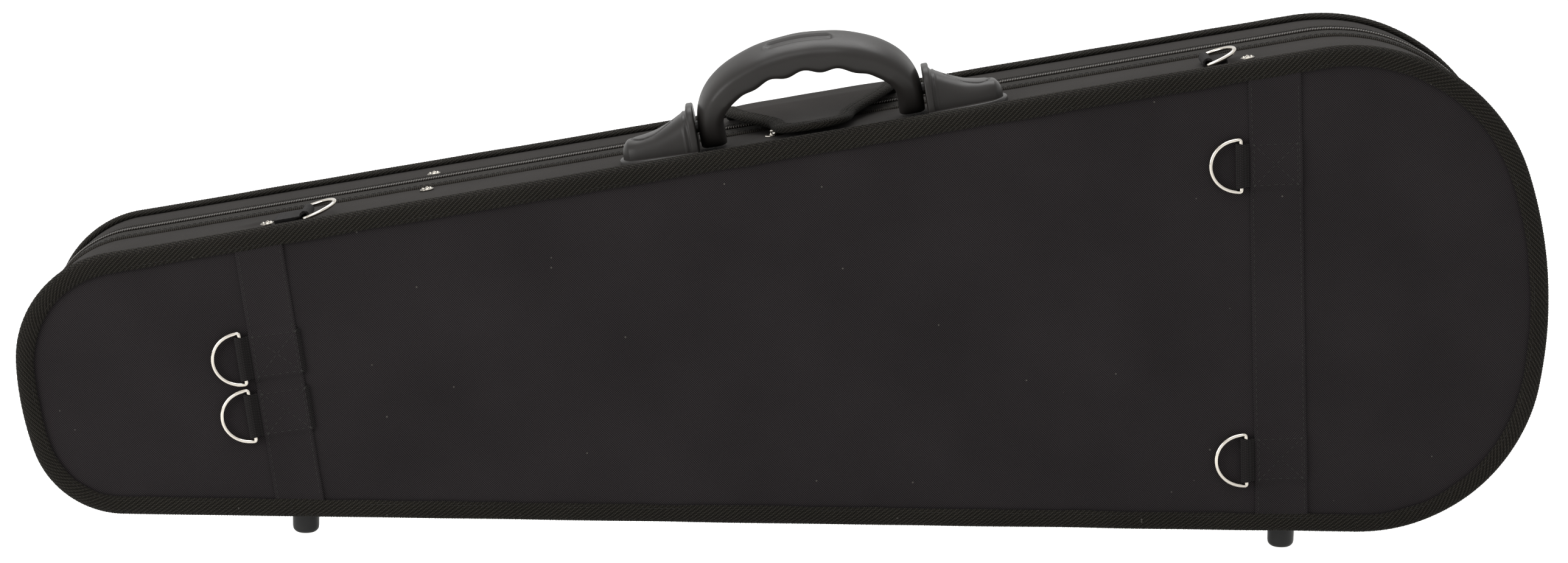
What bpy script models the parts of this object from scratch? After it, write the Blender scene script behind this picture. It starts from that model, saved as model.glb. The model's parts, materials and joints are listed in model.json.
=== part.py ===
"""Dart-shaped violin case: two fabric-covered trays on a spine hinge, closed by a zip.

Metres, +Z up. The case stands on the feet of its spine. +X is the wide end, -Y the back
of the base, +Y the lid. Run with: blender --background --python part.py
"""
import math

import bmesh
import bpy
from mathutils import Matrix, Vector

# Overall shape: the side outline is a straight spine, a sloping top and an arc at each end.
CASE_LENGTH = 0.7904
BASE_DEPTH = 0.0865
LID_DEPTH = 0.0535
FOOT_RISE = 0.01305
MIDDLE_TOP = 0.2145
TOP_SLOPE = math.atan(0.187)
WIDE_END_RADIUS = 0.227
WIDE_END_HEIGHT = 0.1268
NARROW_END_RADIUS = 0.158
NARROW_END_HEIGHT = 0.0972
WIDE_SPINE_CORNER = 0.093
WIDE_TOP_CORNER = 0.097
NARROW_SPINE_CORNER = 0.048
NARROW_TOP_CORNER = 0.057
ARC_STEPS = 6

# Walls and skins.
GAP = 0.0003
BINDING_THICKNESS = 0.0022
BINDING_WIDTH = 0.0093
BINDING_ROUND = 0.0055
SKIN = 0.0012
SHELL_WALL = 0.007
SEAM_RAMP = 0.006

# Zip.
ZIP_TAPE_WIDTHS = {"base": 0.0215, "lid": 0.0092}
ZIP_TAPE_PROUD = 0.0008
ZIP_TOOTH_WIDTH = 0.0021
ZIP_TOOTH_PROUD = 0.0016

# Inside.
BED_HEIGHT = 0.058
BED_FLOOR = 0.008
BED_REACH = 0.4152
BODY_LENGTH = 0.364
LOWER_BOUT = 0.108
WAIST = 0.061
UPPER_BOUT = 0.088
NECK_HALF = 0.022
BODY_END_MARGIN = 0.010
NECK_REST_PLACE = 0.480
NECK_REST_SIZE = (0.038, 0.092, 0.056)
NECK_NOTCH = (0.032, 0.022)
STRAP_WIDTH = 0.022
BOX_END = -0.236
BOX_LID_LENGTH = 0.060
BOX_LID_MARGIN = 0.002
BOX_LID_SETBACK = 0.001
FINGER_NOTCH_RADIUS = 0.014
FINGER_NOTCH_SETBACK = 0.005
BOX_HEIGHT = 0.0515
BOX_WALL = 0.003
LINING_THICKNESS = 0.004
SPINNER_PLACE = 0.230
SPINNER_SPREAD = 0.055
SPINNER_LENGTH = 0.048
SPINNER_WIDTH = 0.013
SPINNER_THICK = 0.005
SPINNER_DROP = 0.011
SPINNER_POST_RADIUS = 0.006
# The lining's two pockets: place and spread of the bow tips, half length and width, depth, wall.
BOW_TIP_PLACE = -0.3389
BOW_TIP_SPREAD = 0.020
POCKET_HALF = (0.014, 0.010)
POCKET_DEPTH = 0.014
POCKET_WALL = 0.002
POCKET_OPEN_REACH = 0.020
STAY_PLACE = -0.187
STAY_WIDTH = 0.012
STAY_DROP = 0.060

# Handle, in the frame of the sloping top wall.
HANDLE_PLACE = 0.0153
HANDLE_DEPTH = 0.030
MOUNT_INNER = 0.060
MOUNT_LENGTH = 0.0395
MOUNT_RIM = 0.0036
MOUNT_HEIGHT = 0.0255
MOUNT_HALF = 0.0185
FLANGE_THICKNESS = 0.003
PIVOT_HEIGHT = 0.0131
GRIP_LEAN = math.radians(15)
GRIP_RISE = 0.0392
GRIP_THICKNESS = 0.0135
GRIP_CROWN = 0.0160
GRIP_HALF = 0.0150
GRIP_SIDE_GAP = 0.0012
FINGER_DEPTH = 0.0012
FINGER_PITCH = 0.0175
PIVOT_PIN_RADIUS = 0.0032
PIVOT_PIN_LENGTH = 0.005

# Rings, tabs and bands.
RING_HALF = 0.0136
RING_REACH = 0.0152
WIRE_RADIUS = 0.00118
TAB_WIDTH = 0.023
WEBBING = 0.0013
EYE_CLEARANCE = 0.0004
TAB_LENGTH = 0.031
BAND_THICKNESS = 0.0015
NARROW_BAND_LEAN = math.radians(8.9)
UPPER_RING_HEIGHT = 0.0995
RING_SPACING = 2 * (RING_HALF + WIRE_RADIUS) + 0.0008
LOWER_RING_HEIGHT = UPPER_RING_HEIGHT - RING_SPACING * math.cos(NARROW_BAND_LEAN)
# Each band: name, x at the spine, lean towards the narrow end, width, and its rings' heights.
BANDS = (
    ("narrow", -0.2475, NARROW_BAND_LEAN, 0.0250, (UPPER_RING_HEIGHT, LOWER_RING_HEIGHT)),
    ("wide", 0.2620, math.radians(3.0), 0.0272, (0.2065, 0.0520)),
)
WALL_TAB_LENGTH = 0.016
# Each wall ring: name, x of its bar, side its strap runs to, angle it stands up, rivet's x.
WALL_RINGS = (
    ("narrow", -0.247, -1, math.radians(12), -0.268),
    ("wide", 0.2175, 1, math.radians(13), 0.2385),
)
WALL_RING_DEPTH = 0.0285

# Small parts.
RIVET_RADIUS = 0.0036
SHANK_RADIUS = 0.0015
SHANK_CLEARANCE = 0.0003
FOOT_RADIUS = 0.007
FOOT_PLACES = (-0.248, 0.264)
FOOT_DEPTH = 0.022
STAY_RIVET_DEPTHS = (0.053, BASE_DEPTH + 0.0165)
HINGE_PLACES = (-0.190, 0.170)
HINGE_LENGTH = 0.060
HINGE_PLATE = 0.001
HINGE_REACH = 0.017
KNUCKLE_RADIUS = 0.0022
PIN_RADIUS = 0.001
PIN_CLEARANCE = 0.0001
FLAP_HALF = 0.0455
FLAP_HINGE_DEPTH = BASE_DEPTH + 0.0295
FLAP_TIP_DEPTH = 0.017
FLAP_THICKNESS = 0.0016
FLAP_RISE = 0.0080
FLAP_SHOULDER = 0.28
FLAP_TIP_START = 0.80
FLAP_TAPER = 0.55
SLIDER_SIZE = (0.012, 0.009, 0.0026)
SLIDER_BRIDGE = (0.0064, 0.0024, 0.0029)
BRIDGE_WINDOW = 0.0042
BRIDGE_WINDOW_HEIGHT = 0.002
PULL_EYE_END = 0.0055
PULL_EYE_MARGIN = 0.0006
PULL_LENGTH = 0.022
PULL_WIDTH = 0.0075
PULL_BAR = 0.0007
STUD_PLACE = -0.020
STUD_DEPTH = 0.040

# What follows from those sizes.
BED_END = CASE_LENGTH / 2 - BED_REACH
RING_STANDOFF = 0.004
PANEL_Y = -(BASE_DEPTH + LID_DEPTH - RING_STANDOFF) / 2
SPLIT_Y = PANEL_Y + BASE_DEPTH
LID_Y = SPLIT_Y + LID_DEPTH
SKIN_INSET = BINDING_THICKNESS + GAP
SHELL_INSET = SKIN_INSET + SKIN + GAP
PANEL_BELOW = 0.0017 + GAP
SHELL_BELOW = PANEL_BELOW + SKIN + GAP
INSIDE_INSET = SHELL_INSET + SHELL_WALL + GAP
FLOOR_Y = PANEL_Y + SHELL_BELOW + SHELL_WALL + GAP
CEILING_Y = LID_Y - SHELL_BELOW - SHELL_WALL - GAP

# Colour, roughness and metallic value of each finish.
FINISHES = {
    "panel_fabric": ((0.018, 0.016, 0.016), 0.85, 0.0),
    "wall_fabric": ((0.030, 0.027, 0.026), 0.80, 0.0),
    "binding_tape": ((0.024, 0.022, 0.020), 0.85, 0.0),
    "zip_tape": ((0.026, 0.024, 0.022), 0.85, 0.0),
    "zip_coil": ((0.020, 0.018, 0.018), 0.35, 0.0),
    "webbing": ((0.019, 0.017, 0.016), 0.85, 0.0),
    "board": ((0.12, 0.10, 0.08), 0.80, 0.0),
    "plush": ((0.055, 0.058, 0.066), 0.95, 0.0),
    "handle_plastic": ((0.040, 0.037, 0.034), 0.45, 0.0),
    "foot_plastic": ((0.015, 0.015, 0.015), 0.50, 0.0),
    "nickel": ((0.72, 0.68, 0.60), 0.15, 1.0),
    "steel": ((0.45, 0.44, 0.42), 0.35, 1.0),
}


# ---------------------------------------------------------------- shared tools


def clear_scene():
    for old in list(bpy.data.objects):
        bpy.data.objects.remove(old, do_unlink=True)


def finish_material(name, finish):
    colour, roughness, metallic = FINISHES[finish]
    made = bpy.data.materials.new(name)
    made.use_nodes = True
    shader = made.node_tree.nodes["Principled BSDF"]
    shader.inputs["Base Color"].default_value = (*colour, 1.0)
    shader.inputs["Roughness"].default_value = roughness
    shader.inputs["Metallic"].default_value = metallic
    return made


def add_object(name, built, finish, place=None):
    """Links a bmesh as an object. With no finish it is a cutter, hidden from the build."""
    bmesh.ops.recalc_face_normals(built, faces=built.faces)
    mesh = bpy.data.meshes.new(name)
    built.to_mesh(mesh)
    built.free()
    made = bpy.data.objects.new(name, mesh)
    bpy.context.scene.collection.objects.link(made)
    if place is not None:
        made.matrix_world = place
    if finish:
        mesh.materials.append(finish_material(name, finish))
    else:
        made.hide_render = True
        made.display_type = "WIRE"
    return made


def smooth(made, degrees=35):
    made.data.shade_smooth()
    made.data.set_sharp_from_angle(angle=math.radians(degrees))
    return made


def sweep(name, rings, finish, closed=False, place=None):
    """A skin over rings of points, closed on itself or with a flat cap at each end."""
    built = bmesh.new()
    rows = [[built.verts.new(point) for point in ring] for ring in rings]
    count = len(rows[0])
    pairs = list(zip(rows, rows[1:])) + ([(rows[-1], rows[0])] if closed else [])
    for row, after in pairs:
        for i in range(count):
            j = (i + 1) % count
            built.faces.new((row[i], row[j], after[j], after[i]))
    if not closed:
        built.faces.new(rows[0])
        built.faces.new(rows[-1])
    return add_object(name, built, finish, place)


def prism(name, loop, low, high, finish=None, place=None):
    """A loop of (x, z) points drawn out along Y."""
    rings = [[(x, y, z) for x, z in loop] for y in (low, high)]
    return sweep(name, rings, finish, place=place)


def turned(name, profile, finish, place, sides=12):
    """A turned piece: (radius, height) pairs about its own Z."""
    rings = []
    for radius, height in profile:
        turns = [math.tau * i / sides for i in range(sides)]
        rings.append([(radius * math.cos(a), radius * math.sin(a), height) for a in turns])
    return smooth(sweep(name, rings, finish, place=place))


def rod(name, radius, low, high, finish=None, place=None, sides=12):
    """A round bar along its own X."""
    turns = [math.tau * (i + 0.5) / sides for i in range(sides)]
    ring = [(radius * math.cos(a), radius * math.sin(a)) for a in turns]
    return sweep(name, [[(x, y, z) for y, z in ring] for x in (low, high)], finish, place=place)


def combine(made, other, operation="DIFFERENCE"):
    step = made.modifiers.new(other.name, "BOOLEAN")
    step.operation = operation
    step.solver = "EXACT"
    step.object = other
    return made


def oval(half_length, half_width, count):
    turns = [math.tau * i / count for i in range(count)]
    return [(half_length * math.cos(a), half_width * math.sin(a)) for a in turns]


def half_round(radius, count=8):
    turns = [math.pi * i / count for i in range(count + 1)]
    return [(radius * math.cos(a), radius * math.sin(a)) for a in turns]


def rectangle(low_x, high_x, low_y, high_y):
    return [(low_x, low_y), (high_x, low_y), (high_x, high_y), (low_x, high_y)]


def axes_matrix(origin, x_axis, y_axis, z_axis):
    columns = Matrix((x_axis, y_axis, z_axis)).transposed().to_4x4()
    return Matrix.Translation(origin) @ columns


# ---------------------------------------------------------------- side outline


def corner_centre(normal, distance, radius, end_centre, end_radius, side):
    """Centre of a corner arc that touches a straight edge and, from inside, an end arc."""
    along = Vector((-normal.y, normal.x))
    foot = normal * (distance - radius)
    offset = foot - end_centre
    half = offset.dot(along)
    rest = offset.length_squared - (end_radius - radius) ** 2
    return foot + along * (-half + side * math.sqrt(max(half * half - rest, 0.0)))


def heading(start, end):
    """Direction from one point to another, counted on from straight down."""
    turn = math.atan2(end.y - start.y, end.x - start.x)
    return turn + math.tau if turn < -math.pi / 2 else turn


def arc(centre, radius, start, end, skip_first=True):
    steps = range(1 if skip_first else 0, ARC_STEPS + 1)
    turns = [start + (end - start) * i / ARC_STEPS for i in steps]
    return [(centre.x + radius * math.cos(a), centre.y + radius * math.sin(a)) for a in turns]


SPINE_NORMAL = Vector((0.0, -1.0))
TOP_NORMAL = Vector((-math.sin(TOP_SLOPE), math.cos(TOP_SLOPE)))
TOP_DISTANCE = MIDDLE_TOP * math.cos(TOP_SLOPE)
WIDE_CENTRE = Vector((CASE_LENGTH / 2 - WIDE_END_RADIUS, WIDE_END_HEIGHT))
NARROW_CENTRE = Vector((NARROW_END_RADIUS - CASE_LENGTH / 2, NARROW_END_HEIGHT))
WIDE_SPINE = corner_centre(
    SPINE_NORMAL, -FOOT_RISE, WIDE_SPINE_CORNER, WIDE_CENTRE, WIDE_END_RADIUS, 1)
WIDE_TOP = corner_centre(
    TOP_NORMAL, TOP_DISTANCE, WIDE_TOP_CORNER, WIDE_CENTRE, WIDE_END_RADIUS, -1)
NARROW_TOP = corner_centre(
    TOP_NORMAL, TOP_DISTANCE, NARROW_TOP_CORNER, NARROW_CENTRE, NARROW_END_RADIUS, 1)
NARROW_SPINE = corner_centre(
    SPINE_NORMAL, -FOOT_RISE, NARROW_SPINE_CORNER, NARROW_CENTRE, NARROW_END_RADIUS, -1)


def outline(inset):
    """The side outline moved in by an inset, from the wide spine corner round to the narrow one.

    Every inset has the same number of points, and the last two are the seam points on the spine.
    """
    top_turn = math.pi / 2 + TOP_SLOPE
    turns = (
        (WIDE_SPINE, WIDE_SPINE_CORNER, -math.pi / 2, heading(WIDE_CENTRE, WIDE_SPINE)),
        (WIDE_CENTRE, WIDE_END_RADIUS, heading(WIDE_CENTRE, WIDE_SPINE),
         heading(WIDE_CENTRE, WIDE_TOP)),
        (WIDE_TOP, WIDE_TOP_CORNER, heading(WIDE_CENTRE, WIDE_TOP), top_turn),
        (NARROW_TOP, NARROW_TOP_CORNER, top_turn, heading(NARROW_CENTRE, NARROW_TOP)),
        (NARROW_CENTRE, NARROW_END_RADIUS, heading(NARROW_CENTRE, NARROW_TOP),
         heading(NARROW_CENTRE, NARROW_SPINE)),
        (NARROW_SPINE, NARROW_SPINE_CORNER, heading(NARROW_CENTRE, NARROW_SPINE), math.pi * 1.5),
    )
    points = []
    for number, (centre, radius, start, end) in enumerate(turns):
        points += arc(centre, radius - inset, start, end, skip_first=number not in (0, 3))
    points.append((NARROW_SPINE.x + SEAM_RAMP, FOOT_RISE + inset))
    points.append((WIDE_SPINE.x - SEAM_RAMP, FOOT_RISE + inset))
    return points


OUTLINE_POINTS = len(outline(0.0))
ZIP_POINTS = range(OUTLINE_POINTS - 2)


def between(loop, low, high):
    """The part of a convex loop whose x lies between two limits."""
    for limit, sign in ((low, 1), (high, -1)):
        kept = []
        for (x0, z0), (x1, z1) in zip(loop, loop[1:] + loop[:1]):
            inside, inside_next = sign * (x0 - limit) >= 0, sign * (x1 - limit) >= 0
            if inside:
                kept.append((x0, z0))
            if inside != inside_next:
                kept.append((limit, z0 + (z1 - z0) * (limit - x0) / (x1 - x0)))
        loop = kept
    return loop


def wall_strip(name, section, finish, points=None):
    """Sweeps a section of (inset, y) pairs round the outline. section(i) may differ by point."""
    chosen = list(range(OUTLINE_POINTS)) if points is None else list(points)
    loops = {}
    rings = []
    for i in chosen:
        ring = []
        for inset, y in section(i):
            loop = loops.setdefault(inset, outline(inset))
            ring.append((loop[i][0], y, loop[i][1]))
        rings.append(ring)
    return sweep(name, rings, finish, closed=points is None)


def top_height(x, inset=0.0):
    return MIDDLE_TOP + x * math.tan(TOP_SLOPE) - inset / math.cos(TOP_SLOPE)


def top_frame(x, y, height=0.0, inset=SKIN_INSET):
    """On the top wall's fabric: X along the slope to the wide end, Y to the lid, Z outwards."""
    along = Vector((math.cos(TOP_SLOPE), 0, math.sin(TOP_SLOPE)))
    out = Vector((-math.sin(TOP_SLOPE), 0, math.cos(TOP_SLOPE)))
    origin = Vector((x, y, top_height(x, inset))) + out * height
    return axes_matrix(origin, along, Vector((0, 1, 0)), out)


def spine_frame(x, y):
    """On the spine's fabric: X to the wide end, Z down to the floor."""
    origin = Vector((x, y, FOOT_RISE + SKIN_INSET))
    return axes_matrix(origin, Vector((1, 0, 0)), Vector((0, -1, 0)), Vector((0, 0, -1)))


# ---------------------------------------------------------------- trays and their skins


def tray(name, face_y, rim_y, inward):
    outer, inner = outline(SHELL_INSET), outline(SHELL_INSET + SHELL_WALL)
    back = face_y + inward * SHELL_BELOW
    floor = back + inward * SHELL_WALL
    levels = ((outer, back), (outer, rim_y), (inner, rim_y), (inner, floor))
    rings = [[(x, y, z) for x, z in loop] for loop, y in levels]
    return sweep(name, rings, "board")


def binding(name, face_y, inward):
    turns = [math.pi / 2 * i / 3 for i in range(4)]
    rounded = [
        (BINDING_ROUND * (1 - math.cos(a)), BINDING_ROUND * (1 - math.sin(a))) for a in turns]
    profile = [(0.0007, BINDING_WIDTH), (0.0, BINDING_WIDTH - 0.0012), *rounded]
    profile += [(BINDING_WIDTH - 0.0012, 0.0), (BINDING_WIDTH, 0.0007)]
    profile += [(BINDING_WIDTH, PANEL_BELOW - GAP), (BINDING_THICKNESS + 0.0012, PANEL_BELOW - GAP)]
    profile += [(BINDING_THICKNESS, SHELL_BELOW - GAP), (BINDING_THICKNESS, BINDING_WIDTH)]
    placed = [(inset, face_y + inward * below) for inset, below in profile]
    return smooth(wall_strip(name, lambda i: placed, "binding_tape"))


def wall_cover(side, face_y, inward):
    near = face_y + inward * (SHELL_BELOW + GAP)
    rim = SPLIT_Y - inward * GAP / 2
    tape_edge = rim - inward * (ZIP_TOOTH_WIDTH + GAP + ZIP_TAPE_WIDTHS[side] + GAP)

    def section(i):
        far = tape_edge if i in ZIP_POINTS else rim
        inner = SKIN_INSET + SKIN
        return (SKIN_INSET, near), (SKIN_INSET, far), (inner, far), (inner, near)

    return wall_strip(side + "_wall_cover", section, "wall_fabric")


def panel_cover(name, face_y, inward):
    ends = sorted((face_y + inward * PANEL_BELOW, face_y + inward * (PANEL_BELOW + SKIN)))
    return prism(name, outline(SKIN_INSET + SKIN), *ends, finish="panel_fabric")


def zip_half(side, inward):
    inner = SKIN_INSET + SKIN
    rim = SPLIT_Y - inward * GAP / 2
    back = rim - inward * ZIP_TOOTH_WIDTH
    top = SKIN_INSET - ZIP_TOOTH_PROUD
    round_off = 0.0006
    tooth = ((inner, back), (top + round_off, back), (top, back + inward * round_off),
             (top, rim - inward * round_off), (top + round_off, rim), (inner, rim))
    near = back - inward * GAP
    far = near - inward * ZIP_TAPE_WIDTHS[side]
    face = SKIN_INSET - ZIP_TAPE_PROUD
    tape = ((inner, near), (face, near), (face, far), (inner, far))
    smooth(wall_strip("zip_teeth_" + side, lambda i: tooth, "zip_coil", ZIP_POINTS))
    wall_strip("zip_tape_" + side, lambda i: tape, "zip_tape", ZIP_POINTS)


def trays():
    shells = {}
    for side, face_y, inward in (("base", PANEL_Y, 1), ("lid", LID_Y, -1)):
        rim = SPLIT_Y - inward * GAP / 2
        shells[side] = (tray(side + "_shell", face_y, rim, inward), wall_cover(side, face_y, inward))
        panel_cover(side + "_panel_cover", face_y, inward)
        binding(side + "_binding", face_y, inward)
        zip_half(side, inward)
    return shells


# ---------------------------------------------------------------- through fastenings


def fasten(shells, name, side, place, head, finish, shank_radius=SHANK_RADIUS):
    """A turned head on the fabric whose shank runs through the fabric and the board behind it."""
    tail = -(SKIN + GAP + SHELL_WALL + GAP)
    turned(name, [(shank_radius, tail), (shank_radius, GAP), *head], finish, place)
    hole = turned(name + "_hole", [(shank_radius + SHANK_CLEARANCE, z) for z in (tail * 1.2, 0.001)],
                  None, place)
    for holed in shells[side]:
        combine(holed, hole)


def rivet_head():
    return [(RIVET_RADIUS, GAP), (RIVET_RADIUS, 0.0008), (RIVET_RADIUS * 0.75, 0.0014),
            (RIVET_RADIUS * 0.3, 0.0016)]


def fastenings(shells):
    for name, _, _, _, rivet_x in WALL_RINGS:
        place = top_frame(rivet_x, PANEL_Y + WALL_RING_DEPTH)
        fasten(shells, "tab_rivet_" + name, "base", place, rivet_head(), "nickel")
    for side, depth in zip(("base", "lid"), STAY_RIVET_DEPTHS):
        place = top_frame(STAY_PLACE, PANEL_Y + depth)
        fasten(shells, "stay_rivet_" + side, side, place, rivet_head(), "nickel")
    stud = [(0.0055, GAP), (0.0055, 0.001), (0.0028, 0.0014), (0.0025, 0.0028), (0.0018, 0.0034)]
    place = top_frame(HANDLE_PLACE + STUD_PLACE, PANEL_Y + STUD_DEPTH)
    fasten(shells, "snap_stud", "base", place, stud, "nickel")
    drop = FOOT_RISE + SKIN_INSET
    foot = [(FOOT_RADIUS + 0.0015, GAP), (FOOT_RADIUS + 0.0015, 0.002), (FOOT_RADIUS, 0.0032),
            (FOOT_RADIUS, drop - 0.003), (FOOT_RADIUS - 0.001, drop - 0.001), (FOOT_RADIUS - 0.003, drop)]
    for side, y in (("base", PANEL_Y + FOOT_DEPTH), ("lid", LID_Y - FOOT_DEPTH)):
        for end, x in zip(("narrow", "wide"), FOOT_PLACES):
            fasten(shells, f"{side}_foot_{end}", side, spine_frame(x, y), foot, "foot_plastic", 0.002)


# ---------------------------------------------------------------- spine hinges


def spine_hinges():
    third = HINGE_LENGTH / 3
    bore = PIN_RADIUS + PIN_CLEARANCE
    knuckle_free = KNUCKLE_RADIUS + GAP
    for end, x in zip(("narrow", "wide"), HINGE_PLACES):
        place = Matrix.Translation((x - HINGE_LENGTH / 2, SPLIT_Y, FOOT_RISE))
        rod("hinge_pin_" + end, PIN_RADIUS, -0.001, HINGE_LENGTH + 0.001, "steel", place)
        leaves = (("base", -1, ((0.0, third), (2 * third, 3 * third)), (third, 2 * third)),
                  ("lid", 1, ((third, 2 * third),), None))
        for side, toward, owned, notch in leaves:
            leaf = hinge_leaf(f"hinge_leaf_{side}_{end}", place, toward, owned, notch, third, knuckle_free)
            combine(leaf, rod(leaf.name + "_bore", bore, -0.01, HINGE_LENGTH + 0.01, None, place))


def hinge_leaf(name, place, toward, owned, notch, third, knuckle_free):
    """A plate with its knuckles: the plate's edge steps back where the other leaf's knuckle turns."""
    top = SKIN_INSET - GAP
    low = top - HINGE_PLATE
    far, clear, root = toward * HINGE_REACH, toward * knuckle_free, toward * PIN_RADIUS * 0.2
    if notch:
        edge = ((0, root), (notch[0] + GAP, root), (notch[0] + GAP, clear))
        edge += ((notch[1] - GAP, clear), (notch[1] - GAP, root), (3 * third, root))
    else:
        edge = ((0, clear), (third + GAP, clear), (third + GAP, root))
        edge += ((2 * third - GAP, root), (2 * third - GAP, clear), (3 * third, clear))
    loop = [(0, far), *edge, (3 * third, far)]
    leaf = sweep(name, [[(x, y, z) for x, y in loop] for z in (low, top)], "steel", place=place)
    for number, (start, end) in enumerate(owned):
        start = start + (GAP if start > 0 else 0)
        end = end - (GAP if end < 3 * third else 0)
        knuckle = rod(f"{name}_knuckle_{number}", KNUCKLE_RADIUS, start, end, None, place)
        combine(leaf, knuckle, "UNION")
    return leaf


# ---------------------------------------------------------------- handle


def arch_section(half, height, bottom, count=10, power=0.62):
    """A flat-bottomed arch of (y, z) points."""
    points = []
    for i in range(count):
        a = math.pi * i / (count - 1)
        y = math.copysign(abs(math.cos(a)) ** power, math.cos(a)) * half
        points.append((y, bottom + (height - bottom) * math.sin(a) ** power))
    return points


def mount_body(name, place, finish=None, lowered=0.0):
    """The housing: a rim plate by the grip, then a back that falls in a hollow curve to a nose."""
    stations = [(0.0, 1.0, 1.0), (MOUNT_RIM, 1.0, 1.0), (MOUNT_RIM, 0.90, 0.93)]
    length = MOUNT_LENGTH - MOUNT_RIM
    for share, width, height in ((0.15, 0.88, 0.87), (0.32, 0.83, 0.70), (0.52, 0.78, 0.56),
                                 (0.72, 0.71, 0.50), (0.86, 0.63, 0.48), (0.96, 0.52, 0.44),
                                 (1.0, 0.36, 0.34)):
        stations.append((MOUNT_RIM + length * share, width, height))
    rings = []
    for u, width, height in stations:
        section = arch_section(MOUNT_HALF * width, MOUNT_HEIGHT * height - lowered, 0.001 - lowered)
        rings.append([(u, y, z) for y, z in section])
    rings[2] = [(MOUNT_RIM + 0.0002, y, z) for _, y, z in rings[2]]
    return smooth(sweep(name, rings, finish, place=place))


def teardrop(grow):
    """Plan of the screw cover: pointed towards the rim and round at the nose."""
    start, end = MOUNT_LENGTH * 0.25, MOUNT_LENGTH * 0.86
    half = MOUNT_HALF * 0.40
    points = [(start - grow, 0.0)]
    for i in range(1, 5):
        share = i / 5
        points.append((start + (end - half - start) * share, (half + grow) * math.sin(share * math.pi / 2)))
    for i in range(7):
        a = math.pi / 2 - math.pi * i / 6
        points.append((end - half + (half + grow) * math.cos(a), (half + grow) * math.sin(a)))
    points += [(x, -y) for x, y in reversed(points[1:5])]
    return points


def flange_outline():
    """Foot of the mount: square at the rim, round at the nose."""
    half, spread = MOUNT_HALF + 0.0012, 0.0022
    centre = MOUNT_LENGTH + spread - half
    points = [(GAP, half)]
    for i in range(9):
        a = math.pi / 2 - math.pi * i / 8
        points.append((centre + half * math.cos(a), half * math.sin(a)))
    return points + [(GAP, -half)]


def handle_mount(end, side):
    """side is +1 for the wide-end mount; the other is its mirror image by a half turn."""
    turn = Matrix.Identity(4) if side > 0 else Matrix.Rotation(math.pi, 4, "Z")
    base = top_frame(HANDLE_PLACE, PANEL_Y + HANDLE_DEPTH)
    place = base @ turn @ Matrix.Translation((MOUNT_INNER, 0, 0))
    name = "handle_mount_" + end
    rings = [[(x, y, z) for x, y in flange_outline()] for z in (GAP, FLANGE_THICKNESS)]
    mount = sweep(name, rings, "handle_plastic", place=place)
    combine(mount, mount_body(name + "_body", place), "UNION")
    pocket_rings = [[(x, y, z) for x, y in teardrop(GAP)] for z in (0.002, 0.04)]
    pocket = sweep(name + "_pocket", pocket_rings, None, place=place)
    combine(pocket, mount_body(name + "_lower", place, lowered=0.0018))
    combine(mount, pocket)
    pivot = place @ Matrix.Translation((0, 0, PIVOT_HEIGHT))
    combine(mount, rod(name + "_bore", PIVOT_PIN_RADIUS + 0.0002, -0.002, PIVOT_PIN_LENGTH, None, pivot))
    cap = sweep("handle_cap_" + end, [[(x, y, z) for x, y in teardrop(0.0)] for z in (0.002, 0.04)],
                "handle_plastic", place=place)
    combine(cap, mount_body(name + "_upper", place, lowered=0.0), "INTERSECT")
    combine(cap, mount_body(name + "_bed", place, lowered=0.0015))


def grip_half_width(height):
    """Half width of the grip at a height from the pivot: it narrows to turn clear of the wall."""
    if height < 0:
        return 0.0121 * math.sqrt(max(1 - (height / 0.0120) ** 2, 0.05))
    return min(0.0124 + 0.16 * height, GRIP_HALF)


def grip_station(outer, inner, half, count=12, power=0.72):
    centre, reach = (outer + inner) / 2, (outer - inner) / 2
    ring = []
    for i in range(count):
        a = math.tau * i / count
        along = math.copysign(abs(math.cos(a)) ** power, math.cos(a))
        across = math.copysign(abs(math.sin(a)) ** power, math.sin(a)) * half
        spot = centre + reach * along
        ring.append((spot.x, across, spot.y))
    return ring


def handle_grip():
    outer_half = MOUNT_INNER - GRIP_SIDE_GAP
    inner_half, inner_rise = outer_half - GRIP_THICKNESS, GRIP_RISE - GRIP_CROWN
    stations = [((outer_half, z), (inner_half, z)) for z in (-0.0112, -0.009, -0.005)]
    steps = 22
    for i in range(steps + 1):
        a = math.pi * i / steps
        x = inner_half * math.cos(a)
        fade = max(0.0, 1 - (x / (FINGER_PITCH * 2)) ** 4)
        finger = FINGER_DEPTH * math.cos(math.tau * (x / FINGER_PITCH + 0.5)) * fade
        outer = (outer_half * math.cos(a), GRIP_RISE * math.sin(a) ** 0.9)
        stations.append((outer, (x, inner_rise * math.sin(a) - finger)))
    stations += [((-ox, oz), (-ix, iz)) for (ox, oz), (ix, iz) in reversed(stations[:3])]
    rings = []
    for outer, inner in stations:
        middle = (outer[1] + inner[1]) / 2
        rings.append(grip_station(Vector(outer), Vector(inner), grip_half_width(middle)))
    place = top_frame(HANDLE_PLACE, PANEL_Y + HANDLE_DEPTH, PIVOT_HEIGHT)
    place = place @ Matrix.Rotation(GRIP_LEAN, 4, "X")
    grip = smooth(sweep("handle_grip", rings, "handle_plastic", place=place))
    reach = MOUNT_INNER + PIVOT_PIN_LENGTH - 0.0008
    for end, low, high in (("narrow", -reach, 0.006 - outer_half), ("wide", outer_half - 0.006, reach)):
        pin = rod("grip_pin_" + end, PIVOT_PIN_RADIUS, low, high, None, place)
        combine(grip, pin, "UNION")


# ---------------------------------------------------------------- rings, tabs and bands


def ring_path():
    """Centreline of a D: a straight bar on Y at x 0 and a full arc on +X."""
    points = [(0.0, -RING_HALF * 0.8), (0.0, 0.0), (0.0, RING_HALF * 0.8)]
    for i in range(11):
        a = math.pi / 2 - math.pi * i / 10
        x = RING_REACH * max(math.cos(a), 0.0) ** 0.75
        points.append((x, RING_HALF * math.sin(a)))
    return points


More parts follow.
